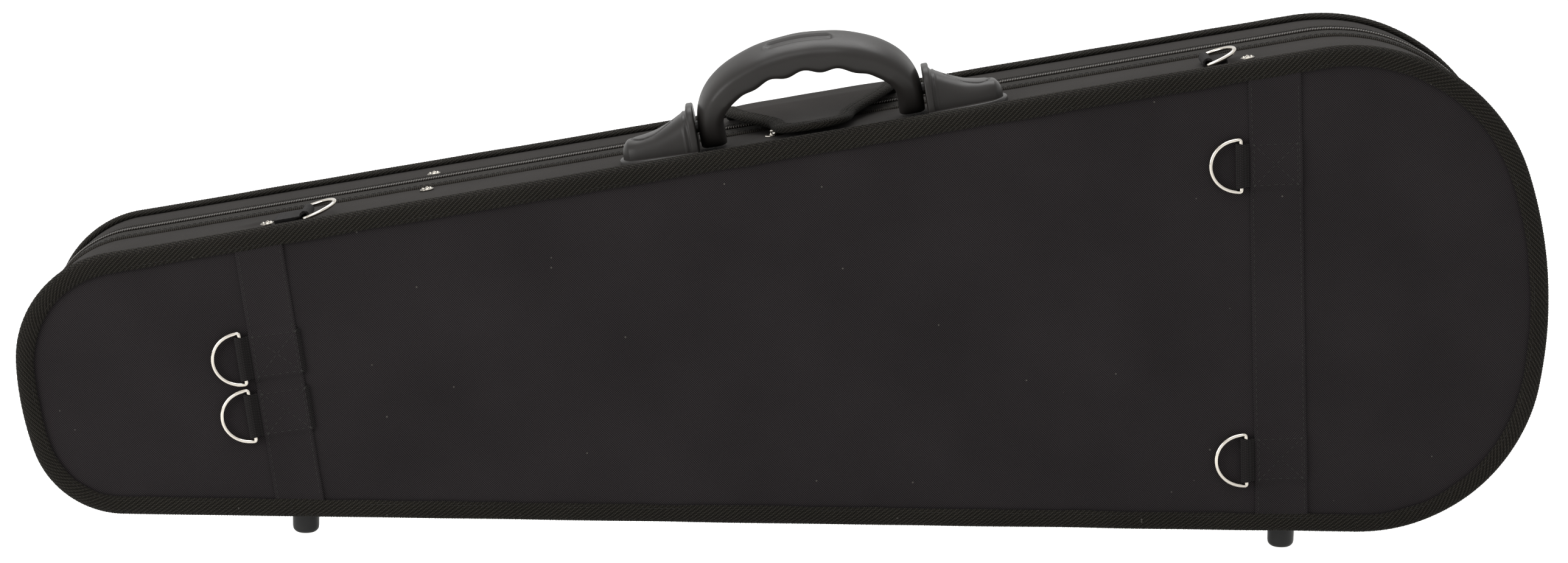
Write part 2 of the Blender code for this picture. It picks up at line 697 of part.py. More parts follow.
def d_ring(name, place, sides=6):
    path = [Vector(point) for point in ring_path()]
    rings = []
    for i, point in enumerate(path):
        before = (point - path[i - 1]).normalized()
        after = (path[(i + 1) % len(path)] - point).normalized()
        along = (before + after).normalized()
        side = Vector((along.y, -along.x)) / max(along.dot(after), 0.5)
        ring = []
        for j in range(sides):
            a = math.tau * (j + 0.5) / sides
            spot = point + side * WIRE_RADIUS * math.cos(a)
            ring.append((spot.x, spot.y, WIRE_RADIUS * math.sin(a)))
        rings.append(ring)
    return smooth(sweep(name, rings, "nickel", closed=True, place=place), 60)


def tab(name, place, length, low, high):
    """Webbing folded round a ring's bar, which is its local Y; the strap runs to -X."""
    outer = WIRE_RADIUS + GAP + WEBBING
    start = math.asin(min(high / outer, 1.0))
    end = math.asin(max(low / outer, -1.0))
    loop = [(-length, low), (-length, high)]
    steps = 12
    first, last = math.pi - start, -math.pi - end
    for i in range(steps + 1):
        turn = first + (last - first) * i / steps
        loop.append((outer * math.cos(turn), outer * math.sin(turn)))
    rings = [[(x, y, z) for x, z in loop] for y in (-TAB_WIDTH / 2, TAB_WIDTH / 2)]
    strap = sweep(name, rings, "webbing", place=place)
    across = place @ Matrix.Rotation(math.pi / 2, 4, "Z")
    hole = rod(name + "_eye", WIRE_RADIUS + EYE_CLEARANCE, -TAB_WIDTH, TAB_WIDTH, None, across)
    return combine(strap, hole)


def panel_bands():
    """Webbing bands across the panel, each with two ringed tabs sewn on."""
    area = outline(BINDING_WIDTH + GAP)
    band_y = PANEL_Y + PANEL_BELOW - GAP - BAND_THICKNESS
    count = 0
    for name, spine_x, lean, width, heights in BANDS:
        along = Vector((-math.sin(lean), 0, math.cos(lean)))
        towards_narrow = Vector((-math.cos(lean), 0, -math.sin(lean)))
        foot = Vector((spine_x, 0, FOOT_RISE))
        corners = [foot + along * reach + towards_narrow * side * width / 2
                   for reach, side in ((-0.1, 1), (-0.1, -1), (CASE_LENGTH, -1), (CASE_LENGTH, 1))]
        band = prism("strap_band_" + name, [(c.x, c.z) for c in corners], band_y,
                     band_y + BAND_THICKNESS, "webbing")
        combine(band, prism(band.name + "_area", area, band_y - 0.01, band_y + 0.01), "INTERSECT")
        for height in heights:
            count += 1
            reach = (height - FOOT_RISE) / along.z
            overhang = width / 2 + 0.0045
            bar = foot + along * reach + towards_narrow * overhang
            bar.y = band_y - GAP - WEBBING
            place = axes_matrix(bar, towards_narrow, along, towards_narrow.cross(along))
            d_ring(f"panel_ring_{count}", place)
            tab(f"ring_tab_{count}", place, TAB_LENGTH, -WEBBING, WEBBING)


def wall_rings():
    outer = WIRE_RADIUS + GAP + WEBBING
    for name, x, side, raised, _ in WALL_RINGS:
        place = top_frame(x, PANEL_Y + WALL_RING_DEPTH, outer + GAP)
        turn = Matrix.Identity(4) if side < 0 else Matrix.Rotation(math.pi, 4, "Z")
        tab("wall_tab_" + name, place @ turn, WALL_TAB_LENGTH if side < 0 else 0.010, -outer, 0.0004)
        d_ring("wall_ring_" + name, place @ Matrix.Rotation(-raised, 4, "Y"))


# ---------------------------------------------------------------- zip sliders and flap


def zip_sliders():
    """Two sliders nose to nose under the flap; each body is drawn towards its own side."""
    length, width, height = SLIDER_SIZE
    bridge_length, bridge_width, bridge_height = SLIDER_BRIDGE
    lift = ZIP_TOOTH_PROUD + GAP
    for name, side in (("narrow", -1), ("wide", 1)):
        turn = Matrix.Identity(4) if side > 0 else Matrix.Rotation(math.pi, 4, "Z")
        place = top_frame(HANDLE_PLACE, SPLIT_Y, lift) @ turn
        half, tail, shoulder = width / 2, width * 0.275, length * 0.35
        back = half * 0.85
        near = [(GAP, -tail), (GAP, tail), (shoulder, half)]
        plan = [*near, (length, back), (length, -back), (shoulder, -half)]
        body = sweep("zip_slider_" + name, [[(x, y, z) for x, y in plan] for z in (0, height)],
                     "nickel", place=place)
        middle = length / 2
        foot, shoulder_rise, crown = height - 0.0005, height + bridge_height * 0.7, height + bridge_height
        reach = bridge_length / 2
        frame = [(middle - reach, foot), (middle + reach, foot), (middle + reach, shoulder_rise),
                 (middle + reach / 2, crown), (middle - reach / 2, crown), (middle - reach, shoulder_rise)]
        combine(body, prism(body.name + "_bridge", frame, -bridge_width / 2, bridge_width / 2, None, place),
                "UNION")
        window_low = height + 0.0001
        window = rectangle(middle - BRIDGE_WINDOW / 2, middle + BRIDGE_WINDOW / 2,
                           window_low, window_low + BRIDGE_WINDOW_HEIGHT)
        combine(body, prism(body.name + "_window", window, -width, width, None, place))
        zip_pull(name, place @ Matrix.Translation((middle, 0, height + 0.0011)), bridge_width)


def zip_pull(name, place, bridge_width):
    """A flat pull whose eye bar lies through the slider's bridge, on its own Y."""
    half, inner = PULL_WIDTH / 2, bridge_width / 2 + PULL_EYE_MARGIN
    plan = [(-PULL_BAR, half * 0.8), (PULL_LENGTH * 0.6, half), (PULL_LENGTH - 0.001, half * 0.8),
            (PULL_LENGTH, 0.0)]
    loop = [*plan, *[(x, -y) for x, y in reversed(plan[:-1])]]
    pull = sweep("zip_pull_" + name, [[(x, y, z) for x, y in loop] for z in (-PULL_BAR, PULL_BAR)],
                 "nickel", place=place)
    eye = rectangle(PULL_BAR, PULL_EYE_END, -inner, inner)
    rings = [[(x, y, z) for x, y in eye] for z in (-0.01, 0.01)]
    combine(pull, sweep(pull.name + "_eye", rings, None, place=place))


def flap_half_width(share):
    """The tongue keeps its width to FLAP_SHOULDER, narrows to its tip's width and ends round."""
    t = max(0.0, min(1.0, (share - FLAP_SHOULDER) / (FLAP_TIP_START - FLAP_SHOULDER)))
    wide = FLAP_HALF * (1 - FLAP_TAPER * t * t * (3 - 2 * t))
    end = max(0.0, share - FLAP_TIP_START) / (1 - FLAP_TIP_START)
    return wide * math.sqrt(max(1 - (end * 0.985) ** 2.2, 0.0))


def closure_flap():
    """A tongue sewn to the lid that arches over the sliders and comes down to the snap."""
    hinge_y, tip_y = PANEL_Y + FLAP_HINGE_DEPTH, PANEL_Y + FLAP_TIP_DEPTH
    place = top_frame(HANDLE_PLACE, hinge_y, GAP)
    reach = hinge_y - tip_y
    arch_end = hinge_y - SPLIT_Y + SLIDER_SIZE[1]
    rings = []
    steps = 16
    for i in range(steps + 1):
        run = reach * i / steps
        rise = math.sin(min(run / (hinge_y - SPLIT_Y - SLIDER_SIZE[1]), 1.0) * math.pi / 2)
        fall = 0.0 if run < arch_end else (run - arch_end) / (reach - arch_end)
        height = FLAP_RISE * rise - 0.0035 * math.sin(fall * math.pi * 0.75)
        half = flap_half_width(run / reach)
        droop = 0.0016 * fall
        top = [(half * share, -run, height + FLAP_THICKNESS - droop * share ** 2)
               for share in (-1, -0.5, 0, 0.5, 1)]
        rings.append(top + [(x, y, z - FLAP_THICKNESS) for x, y, z in reversed(top)])
    sweep("closure_flap", rings, "binding_tape", place=place)


# ---------------------------------------------------------------- inside


def instrument_frame():
    """X from the wide end's board to the narrow end along the instrument's line, Y across it."""
    lean = math.atan(math.tan(TOP_SLOPE) / 2)
    start_x = CASE_LENGTH / 2 - INSIDE_INSET - BODY_END_MARGIN
    middle = (FOOT_RISE + top_height(start_x)) / 2
    along = Vector((-math.cos(lean), 0, -math.sin(lean)))
    across = Vector((-math.sin(lean), 0, math.cos(lean)))
    return Vector((start_x, 0, middle)), along, across


def in_plan(run, offset):
    origin, along, across = instrument_frame()
    spot = origin + along * run + across * offset
    return spot.x, spot.z


def bout_half_width(run):
    lower_at, waist_at, upper_at = BODY_LENGTH * 0.21, BODY_LENGTH * 0.53, BODY_LENGTH * 0.80
    if run < lower_at:
        return LOWER_BOUT * math.sqrt(max(1 - ((lower_at - run) / lower_at) ** 2.4, 0.0))
    if run < waist_at:
        share = (1 - math.cos(math.pi * (run - lower_at) / (waist_at - lower_at))) / 2
        return LOWER_BOUT + (WAIST - LOWER_BOUT) * share
    if run < upper_at:
        share = (1 - math.cos(math.pi * (run - waist_at) / (upper_at - waist_at))) / 2
        return WAIST + (UPPER_BOUT - WAIST) * share
    share = (run - upper_at) / (BODY_LENGTH - upper_at)
    return max(UPPER_BOUT * math.sqrt(max(1 - share ** 2.6, 0.0)), NECK_HALF)


def violin_bed():
    loop = between(outline(INSIDE_INSET), BED_END, CASE_LENGTH)
    bed = prism("violin_bed", loop, FLOOR_Y, FLOOR_Y + BED_HEIGHT, "plush")
    runs = [BODY_LENGTH * (1 - math.cos(math.pi * i / 30)) / 2 for i in range(31)]
    upper = [(run, bout_half_width(run)) for run in runs[1:]] + [(BODY_LENGTH + 0.12, NECK_HALF)]
    plan = [in_plan(*point) for point in upper]
    plan += [in_plan(run, -half) for run, half in reversed(upper)]
    plan.append(in_plan(0.0, 0.0))
    combine(bed, prism("violin_space", plan, FLOOR_Y + BED_FLOOR, FLOOR_Y + BED_HEIGHT * 2))


def neck_parts():
    """The padded rest with its notch, and the strap that is fastened over the neck."""
    origin, along, across = instrument_frame()
    length, width, height = NECK_REST_SIZE
    notch_width, notch_depth = NECK_NOTCH
    centre = origin + along * NECK_REST_PLACE
    centre.y = FLOOR_Y
    place = axes_matrix(centre, along, across, along.cross(across))
    toward = 1 if (along.cross(across)).y > 0 else -1
    half, notch = width / 2, notch_width / 2
    section = [(-half, 0), (half, 0), (half, height - 0.004), (half - 0.004, height), (notch, height),
               (notch, height - notch_depth * 0.6), (notch * 0.6, height - notch_depth),
               (-notch * 0.6, height - notch_depth), (-notch, height - notch_depth * 0.6),
               (-notch, height), (0.004 - half, height), (-half, height - 0.004)]
    rings = [[(x, y, z * toward) for y, z in section] for x in (-length / 2, length / 2)]
    sweep("neck_rest", rings, "plush", place=place)
    strap_top = []
    for i in range(9):
        a = math.pi * i / 8
        strap_top.append((math.cos(a) * half * 0.88, height + GAP + 0.0015 + 0.013 * math.sin(a) ** 1.5))
    strap = strap_top + [(y, z - 0.0015) for y, z in reversed(strap_top)]
    rings = [[(x, y, z * toward) for y, z in strap] for x in (-STRAP_WIDTH / 2, STRAP_WIDTH / 2)]
    sweep("neck_strap", rings, "plush", place=place)


def accessory_parts():
    """The box in the narrow end: a lidded part next to the scroll and an open pocket beyond."""
    outer, inner = outline(INSIDE_INSET), outline(INSIDE_INSET + BOX_WALL)
    top, floor = FLOOR_Y + BOX_HEIGHT, FLOOR_Y + BOX_WALL
    box = prism("accessory_box", between(outer, -CASE_LENGTH, BOX_END), FLOOR_Y, top, "plush")
    divider = BOX_END - BOX_LID_LENGTH
    lidded = between(inner, divider + BOX_WALL / 2, BOX_END - BOX_WALL)
    combine(box, prism("box_space", lidded, floor, top + 0.01))
    pocket = between(inner, -CASE_LENGTH, divider - BOX_WALL / 2)
    combine(box, prism("pocket_space", pocket, floor, top + 0.01))
    hinge_line = BOX_END - BOX_LID_SETBACK
    plate = between(outline(INSIDE_INSET + BOX_LID_MARGIN), BOX_END - BOX_LID_LENGTH, hinge_line)
    axis = Vector((hinge_line, top + GAP, FOOT_RISE))
    loop = [(x - axis.x, z - axis.z) for x, z in plate]
    place = Matrix.Translation(axis)
    lid = prism("accessory_lid", loop, 0.0, BOX_WALL, "plush", place)
    middle = sum(z for _, z in loop) / len(loop)
    ear = half_round(FINGER_NOTCH_RADIUS)
    notch = [(z - BOX_LID_LENGTH - FINGER_NOTCH_SETBACK, middle + x) for x, z in ear]
    combine(lid, prism("finger_notch", notch, -0.01, 0.01, None, place))


def lid_fittings():
    """Quilted lining with two pockets for the bow tips, and a turning clip for each bow."""
    lining_low = CEILING_Y - LINING_THICKNESS
    prism("lid_lining", outline(INSIDE_INSET), lining_low, CEILING_Y, "plush")
    lining = bpy.data.objects["lid_lining"]
    origin, along, across = instrument_frame()
    for number, side in enumerate((-1, 1)):
        spot = Vector((SPINNER_PLACE, 0, in_plan(origin.x - SPINNER_PLACE, side * SPINNER_SPREAD)[1]))
        spot.y = lining_low - GAP
        place = Matrix.Translation(spot)
        name = "bow_spinner_" + ("lower", "upper")[number]
        bar = oval(SPINNER_LENGTH / 2, SPINNER_WIDTH / 2, 16)
        spinner = prism(name, bar, -SPINNER_DROP, SPINNER_THICK - SPINNER_DROP, "handle_plastic", place)
        post = oval(SPINNER_POST_RADIUS, SPINNER_POST_RADIUS, 12)
        post_low = SPINNER_THICK - SPINNER_DROP - 0.0005
        combine(spinner, prism(name + "_post", post, post_low, 0.0, None, place), "UNION")
        x = BOW_TIP_PLACE
        z = in_plan(origin.x - x, side * BOW_TIP_SPREAD)[1]
        block = rectangle(x - POCKET_HALF[0], x + POCKET_HALF[0], z - POCKET_HALF[1], z + POCKET_HALF[1])
        pocket_low = lining_low - POCKET_DEPTH
        combine(lining, prism(name + "_pocket", block, pocket_low, lining_low + 0.001), "UNION")
        space_half = [half - POCKET_WALL for half in POCKET_HALF]
        space = rectangle(x - space_half[0], x + POCKET_OPEN_REACH, z - space_half[1], z + space_half[1])
        space_low = pocket_low + POCKET_WALL
        combine(lining, prism(name + "_space", space, space_low, lining_low - POCKET_WALL / 2))


def lid_stay():
    """A ribbon inside the top wall that hangs in a loop when the case is shut."""
    ceiling = top_height(STAY_PLACE, INSIDE_INSET) - 0.004
    start, end = (PANEL_Y + depth for depth in STAY_RIVET_DEPTHS)
    middle, reach = (start + end) / 2, (end - start) / 2
    line = [(start, ceiling), (start, ceiling - STAY_DROP / 2)]
    bottom = ceiling - STAY_DROP + reach
    line += [(middle - reach * math.cos(math.pi * i / 8), bottom - reach * math.sin(math.pi * i / 8))
             for i in range(9)]
    line += [(end, ceiling - STAY_DROP / 2), (end, ceiling)]
    rings = []
    for i, (y, z) in enumerate(line):
        before, after = line[max(i - 1, 0)], line[min(i + 1, len(line) - 1)]
        flow = Vector((after[0] - before[0], after[1] - before[1])).normalized()
        side = Vector((-flow.y, flow.x)) * 0.0005
        spread = STAY_WIDTH / 2
        front, back = (y + side.x, z + side.y), (y - side.x, z - side.y)
        low, high = STAY_PLACE - spread, STAY_PLACE + spread
        rings.append([(low, *front), (high, *front), (high, *back), (low, *back)])
    sweep("lid_stay", rings, "webbing")


# ---------------------------------------------------------------- the case


def build_case():
    clear_scene()
    shells = trays()
    fastenings(shells)
    spine_hinges()
    handle_mount("narrow", -1)
    handle_mount("wide", 1)
    handle_grip()
    panel_bands()
    wall_rings()
    zip_sliders()
    closure_flap()
    violin_bed()
    neck_parts()
    accessory_parts()
    lid_fittings()
    lid_stay()


build_case()
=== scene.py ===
import json
import math

import bmesh
import bpy
from mathutils import Matrix, Vector, noise

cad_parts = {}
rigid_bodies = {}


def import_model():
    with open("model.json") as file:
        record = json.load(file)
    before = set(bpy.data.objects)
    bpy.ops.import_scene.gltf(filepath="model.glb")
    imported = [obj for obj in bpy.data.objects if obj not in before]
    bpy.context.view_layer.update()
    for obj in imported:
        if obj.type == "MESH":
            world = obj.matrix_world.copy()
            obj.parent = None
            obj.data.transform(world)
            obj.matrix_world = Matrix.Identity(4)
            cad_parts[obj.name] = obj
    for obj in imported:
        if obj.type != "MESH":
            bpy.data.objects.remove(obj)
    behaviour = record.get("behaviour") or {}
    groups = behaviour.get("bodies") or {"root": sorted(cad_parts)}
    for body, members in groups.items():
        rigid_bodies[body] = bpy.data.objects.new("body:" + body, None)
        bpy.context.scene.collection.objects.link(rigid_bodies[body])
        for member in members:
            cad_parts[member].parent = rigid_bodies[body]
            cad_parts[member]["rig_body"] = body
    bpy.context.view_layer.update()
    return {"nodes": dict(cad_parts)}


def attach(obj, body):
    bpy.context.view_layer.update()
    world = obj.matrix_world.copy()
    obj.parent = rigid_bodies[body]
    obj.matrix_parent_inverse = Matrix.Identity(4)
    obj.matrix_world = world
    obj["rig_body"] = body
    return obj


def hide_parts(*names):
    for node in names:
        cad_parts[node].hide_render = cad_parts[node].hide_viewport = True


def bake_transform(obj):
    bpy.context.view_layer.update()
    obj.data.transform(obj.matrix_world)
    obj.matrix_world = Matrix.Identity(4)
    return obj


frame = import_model()

# The same outline as the boards: spine, sloping top, and an arc at each end.
caseShape = {
    "length": 0.7904, "footRise": 0.01305, "middleTop": 0.2145, "topRise": 0.187,
    "wideEnd": (0.227, 0.1268), "narrowEnd": (0.158, 0.0972),  # radius, height of its centre
    "corners": (0.093, 0.097, 0.057, 0.048),  # wide spine, wide top, narrow top, narrow spine
    "panelY": -0.068, "splitY": 0.0185, "lidY": 0.072,
}
topSlope = math.atan(caseShape["topRise"])
topAlong = Vector((math.cos(topSlope), 0, math.sin(topSlope)))
topOut = Vector((-math.sin(topSlope), 0, math.cos(topSlope)))


def cornerCentre(normal, distance, radius, endCentre, endRadius, side):
    along = Vector((-normal.y, normal.x))
    foot = normal * (distance - radius)
    half = (foot - endCentre).dot(along)
    rest = (foot - endCentre).length_squared - (endRadius - radius) ** 2
    return foot + along * (side * math.sqrt(half * half - rest) - half)


def heading(start, end):
    turn = math.atan2(end.y - start.y, end.x - start.x)
    return turn + math.tau if turn < -math.pi / 2 else turn


def outlineRuns():
    half, rise = caseShape["length"] / 2, caseShape["footRise"]
    spineNormal, topNormal = Vector((0, -1)), Vector((topOut.x, topOut.z))
    topDistance = caseShape["middleTop"] * math.cos(topSlope)
    wideRadius, wideHeight = caseShape["wideEnd"]
    narrowRadius, narrowHeight = caseShape["narrowEnd"]
    wide, narrow = Vector((half - wideRadius, wideHeight)), Vector((narrowRadius - half, narrowHeight))
    r = caseShape["corners"]
    ws = cornerCentre(spineNormal, -rise, r[0], wide, wideRadius, 1)
    wt = cornerCentre(topNormal, topDistance, r[1], wide, wideRadius, -1)
    nt = cornerCentre(topNormal, topDistance, r[2], narrow, narrowRadius, 1)
    ns = cornerCentre(spineNormal, -rise, r[3], narrow, narrowRadius, -1)
    up = math.pi / 2 + topSlope
    return [
        (ws, r[0], -math.pi / 2, heading(wide, ws)), (wide, wideRadius, heading(wide, ws), heading(wide, wt)),
        (wt, r[1], heading(wide, wt), up), None, (nt, r[2], up, heading(narrow, nt)),
        (narrow, narrowRadius, heading(narrow, nt), heading(narrow, ns)),
        (ns, r[3], heading(narrow, ns), math.pi * 1.5), None]


def rimTrack(step):
    # A row of (distance, point, outward normal) once round the outline, from the wide spine corner.
    runs, track, gone, zipEnd = outlineRuns(), [], 0.0, 0.0
    for number, run in enumerate(runs):
        if run:
            centre, radius, start, end = run
            span = radius * (end - start)
            count = max(2, round(span / step))
            for i in range(count):
                a = start + (end - start) * i / count
                n = Vector((math.cos(a), math.sin(a)))
                track.append((gone + span * i / count, centre + n * radius, n))
        else:
            before, after = runs[number - 1], runs[(number + 1) % len(runs)]
            n = Vector((math.cos(before[3]), math.sin(before[3])))
            a, b = before[0] + n * before[1], after[0] + n * after[1]
            span = (b - a).length
            if number == len(runs) - 1:
                zipEnd = gone
            count = max(2, round(span / step))
            track += [(gone + span * i / count, a.lerp(b, i / count), n) for i in range(count)]
        gone += span
    return track, gone, zipEnd


def topHeight(x, inset=0.0):
    return caseShape["middleTop"] + x * caseShape["topRise"] - inset / math.cos(topSlope)


def topFrame(x, y, height=0.0, inset=0.0025):
    origin = Vector((x, y, topHeight(x, inset))) + topOut * height
    return Matrix.Translation(origin) @ Matrix((topAlong, (0, 1, 0), topOut)).transposed().to_4x4()


def smoothStep(low, high, x):
    t = max(0.0, min(1.0, (x - low) / (high - low)))
    return t * t * (3 - 2 * t)


def ripple(x, y, z, size, amount):
    return amount * noise.noise(Vector((x / size, y / size, z / size)))


def addMesh(name, verts, faces, uvs=None, material=None, weld=False, outward=True, sharp=None):
    mesh = bpy.data.meshes.new(name)
    mesh.from_pydata([tuple(v) for v in verts], [], faces)
    if uvs:
        layer = mesh.uv_layers.new(name="clothUv")
        layer.data.foreach_set("uv", uvs)
    built = bmesh.new()
    built.from_mesh(mesh)
    if weld:
        bmesh.ops.remove_doubles(built, verts=built.verts, dist=1e-6)
    if outward:
        bmesh.ops.recalc_face_normals(built, faces=built.faces)
    built.to_mesh(mesh)
    built.free()
    mesh.shade_smooth()
    if sharp:
        mesh.set_sharp_from_angle(angle=math.radians(sharp))
    made = bpy.data.objects.new(name, mesh)
    bpy.context.scene.collection.objects.link(made)
    if material:
        mesh.materials.append(material)
    return made


def sweep(name, rows, us, vs, material, loopAlong=False, caps=False, weld=False, sharp=None):
    # Rows of points closed across; us has a value for each row (one more if it closes), vs one more than a row.
    wide, count = len(rows[0]), len(rows)
    verts = [p for row in rows for p in row]
    faces, uvs = [], []
    for i in range(count if loopAlong else count - 1):
        a, b = i * wide, ((i + 1) % count) * wide
        for j in range(wide):
            k = (j + 1) % wide
            faces.append((a + j, b + j, b + k, a + k))
            uvs += (us[i], vs[j], us[i + 1], vs[j], us[i + 1], vs[j + 1], us[i], vs[j + 1])
    if caps:
        for first, u in ((0, us[0]), ((count - 1) * wide, us[count - 1])):
            faces.append(tuple(range(first, first + wide)))
            for j in range(wide):
                uvs += (u, vs[j])
    return addMesh(name, verts, faces, uvs, material, weld=weld, sharp=sharp)


def steps(count):
    return [i / count for i in range(count + 1)]


def arcLengths(points):
    out = [0.0]
    for a, b in zip(points, points[1:] + points[:1]):
        out.append(out[-1] + (Vector(b) - Vector(a)).length)
    return out


def joined(name, parts):
    built = bmesh.new()
    for part in parts:
        built.from_mesh(part.data)
    mesh = bpy.data.meshes.new(name)
    built.to_mesh(mesh)
    built.free()
    for material in parts[0].data.materials:
        mesh.materials.append(material)
    for part in parts:
        bpy.data.objects.remove(part)
    made = bpy.data.objects.new(name, mesh)
    bpy.context.scene.collection.objects.link(made)
    return made


# ---- shader groups and materials

def addNode(tree, kind, values=None, **settings):
    made = tree.nodes.new(kind)
    for key, value in settings.items():
        setattr(made, key, value)
    for socket, value in (values or {}).items():
        if isinstance(value, bpy.types.NodeSocket):
            tree.links.new(value, made.inputs[socket])
        else:
            made.inputs[socket].default_value = value
    return made


def maths(tree, operation, *values):
    return addNode(tree, "ShaderNodeMath", dict(enumerate(values)), operation=operation).outputs[0]


def addGroup(name, inputs, outputs, kind="ShaderNodeTree"):
    tree = bpy.data.node_groups.new(name, kind)
    for label, socket, value in inputs:
        made = tree.interface.new_socket(label, in_out="INPUT", socket_type=socket)
        if value is not None:
            made.default_value = value
    for label, socket in outputs:
        tree.interface.new_socket(label, in_out="OUTPUT", socket_type=socket)
    return tree, tree.nodes.new("NodeGroupInput").outputs, tree.nodes.new("NodeGroupOutput").inputs


def wave(tree, value, pitch, phase=0.0):
    # A cosine from 0 to 1 that repeats every pitch.
    turns = maths(tree, "DIVIDE", value, pitch)
    turns = maths(tree, "MULTIPLY_ADD", turns, math.tau, phase)
    return maths(tree, "MULTIPLY_ADD", maths(tree, "COSINE", turns), 0.5, 0.5)


def plainWeaveGroup():
    tree, given, out = addGroup(
        "plainWeave",
        [("Vector", "NodeSocketVector", None), ("Thread Pitch", "NodeSocketFloat", 0.001),
         ("Irregularity", "NodeSocketFloat", 0.3)],
        [("Height", "NodeSocketFloat"), ("Thread", "NodeSocketFloat")])
    wander = addNode(tree, "ShaderNodeTexNoise", {"Vector": given["Vector"], "Scale": 90.0, "Detail": 1.0})
    shifted = maths(tree, "MULTIPLY", maths(tree, "SUBTRACT", wander.outputs["Fac"], 0.5), 0.0012)
    parts = addNode(tree, "ShaderNodeSeparateXYZ", {0: given["Vector"]}).outputs
    double = maths(tree, "MULTIPLY", given["Thread Pitch"], 2.0)
    u = wave(tree, maths(tree, "ADD", parts[0], shifted), double)
    v = wave(tree, maths(tree, "ADD", parts[1], shifted), double, math.pi / 2)
    over = maths(tree, "MULTIPLY", maths(tree, "MULTIPLY_ADD", u, 2.0, -1.0), maths(tree, "MULTIPLY_ADD", v, 2.0, -1.0))
    knot = maths(tree, "MULTIPLY_ADD", over, 0.5, 0.5)
    fine = addNode(tree, "ShaderNodeTexNoise", {"Vector": given["Vector"], "Scale": 1400.0, "Detail": 2.0})
    rough = maths(tree, "MULTIPLY", maths(tree, "SUBTRACT", fine.outputs["Fac"], 0.5), given["Irregularity"])
    tree.links.new(maths(tree, "ADD", knot, rough), out["Height"])
    tree.links.new(knot, out["Thread"])
    return tree


def chevronGroup():
    tree, given, out = addGroup(
        "chevronWeave",
        [("Vector", "NodeSocketVector", None), ("Rib Pitch", "NodeSocketFloat", 0.0030),
         ("Column Width", "NodeSocketFloat", 0.0081), ("Slope", "NodeSocketFloat", 1.5),
         ("Cord Pitch", "NodeSocketFloat", 0.0009)],
        [("Height", "NodeSocketFloat"), ("Thread", "NodeSocketFloat")])
    parts = addNode(tree, "ShaderNodeSeparateXYZ", {0: given["Vector"]}).outputs
    fold = maths(tree, "PINGPONG", parts[1], given["Column Width"])
    slanted = maths(tree, "MULTIPLY_ADD", fold, given["Slope"], parts[0])
    rib = wave(tree, slanted, given["Rib Pitch"])
    cord = wave(tree, maths(tree, "SUBTRACT", parts[0], maths(tree, "MULTIPLY", fold, 0.6)), given["Cord Pitch"])
    across = wave(tree, parts[1], given["Cord Pitch"])
    knot = maths(tree, "MULTIPLY", cord, maths(tree, "MULTIPLY_ADD", across, 0.6, 0.4))
    fine = addNode(tree, "ShaderNodeTexNoise", {"Vector": given["Vector"], "Scale": 1500.0, "Detail": 2.0})
    thread = maths(tree, "MULTIPLY", maths(tree, "MULTIPLY_ADD", rib, 0.75, 0.25), knot)
    height = maths(tree, "MULTIPLY_ADD", fine.outputs["Fac"], 0.35, maths(tree, "MULTIPLY_ADD", rib, 0.6, thread))
    tree.links.new(height, out["Height"])
    tree.links.new(thread, out["Thread"])
    return tree


def ribbedGroup():
    tree, given, out = addGroup(
        "ribbedTape",
        [("Vector", "NodeSocketVector", None), ("Rib Pitch", "NodeSocketFloat", 0.0011),
         ("Line Pitch", "NodeSocketFloat", 0.0021)],
        [("Height", "NodeSocketFloat"), ("Thread", "NodeSocketFloat")])
    parts = addNode(tree, "ShaderNodeSeparateXYZ", {0: given["Vector"]}).outputs
    slanted = maths(tree, "MULTIPLY_ADD", maths(tree, "PINGPONG", parts[1], given["Line Pitch"]), 0.5, parts[0])
    rib = wave(tree, slanted, given["Rib Pitch"])
    line = wave(tree, parts[1], given["Line Pitch"])
    fine = addNode(tree, "ShaderNodeTexNoise", {"Vector": given["Vector"], "Scale": 1300.0, "Detail": 2.0})
    thread = maths(tree, "MULTIPLY", rib, maths(tree, "MULTIPLY_ADD", line, 0.5, 0.5))
    tree.links.new(maths(tree, "MULTIPLY_ADD", fine.outputs["Fac"], 0.4, thread), out["Height"])
    tree.links.new(thread, out["Thread"])
    return tree


def lintGroup():
    # Slow clouding of a cloth's colour and a few specks of lint.
    tree, given, out = addGroup(
        "lint",
        [("Vector", "NodeSocketVector", None), ("Cloud Scale", "NodeSocketFloat", 14.0),
         ("Speck Share", "NodeSocketFloat", 0.014)],
        [("Cloud", "NodeSocketFloat"), ("Speck", "NodeSocketFloat")])
    cloud = addNode(tree, "ShaderNodeTexNoise", {"Vector": given["Vector"], "Scale": given["Cloud Scale"], "Detail": 3.0})
    cells = addNode(tree, "ShaderNodeTexVoronoi", {"Vector": given["Vector"], "Scale": 260.0}, feature="F1")
    chance = addNode(tree, "ShaderNodeSeparateColor", {0: cells.outputs["Color"]}).outputs[0]
    chosen = maths(tree, "LESS_THAN", chance, given["Speck Share"])
    near = maths(tree, "LESS_THAN", cells.outputs["Distance"], 0.12)
    tree.links.new(cloud.outputs["Fac"], out["Cloud"])
    tree.links.new(maths(tree, "MULTIPLY", chosen, near), out["Speck"])
    return tree


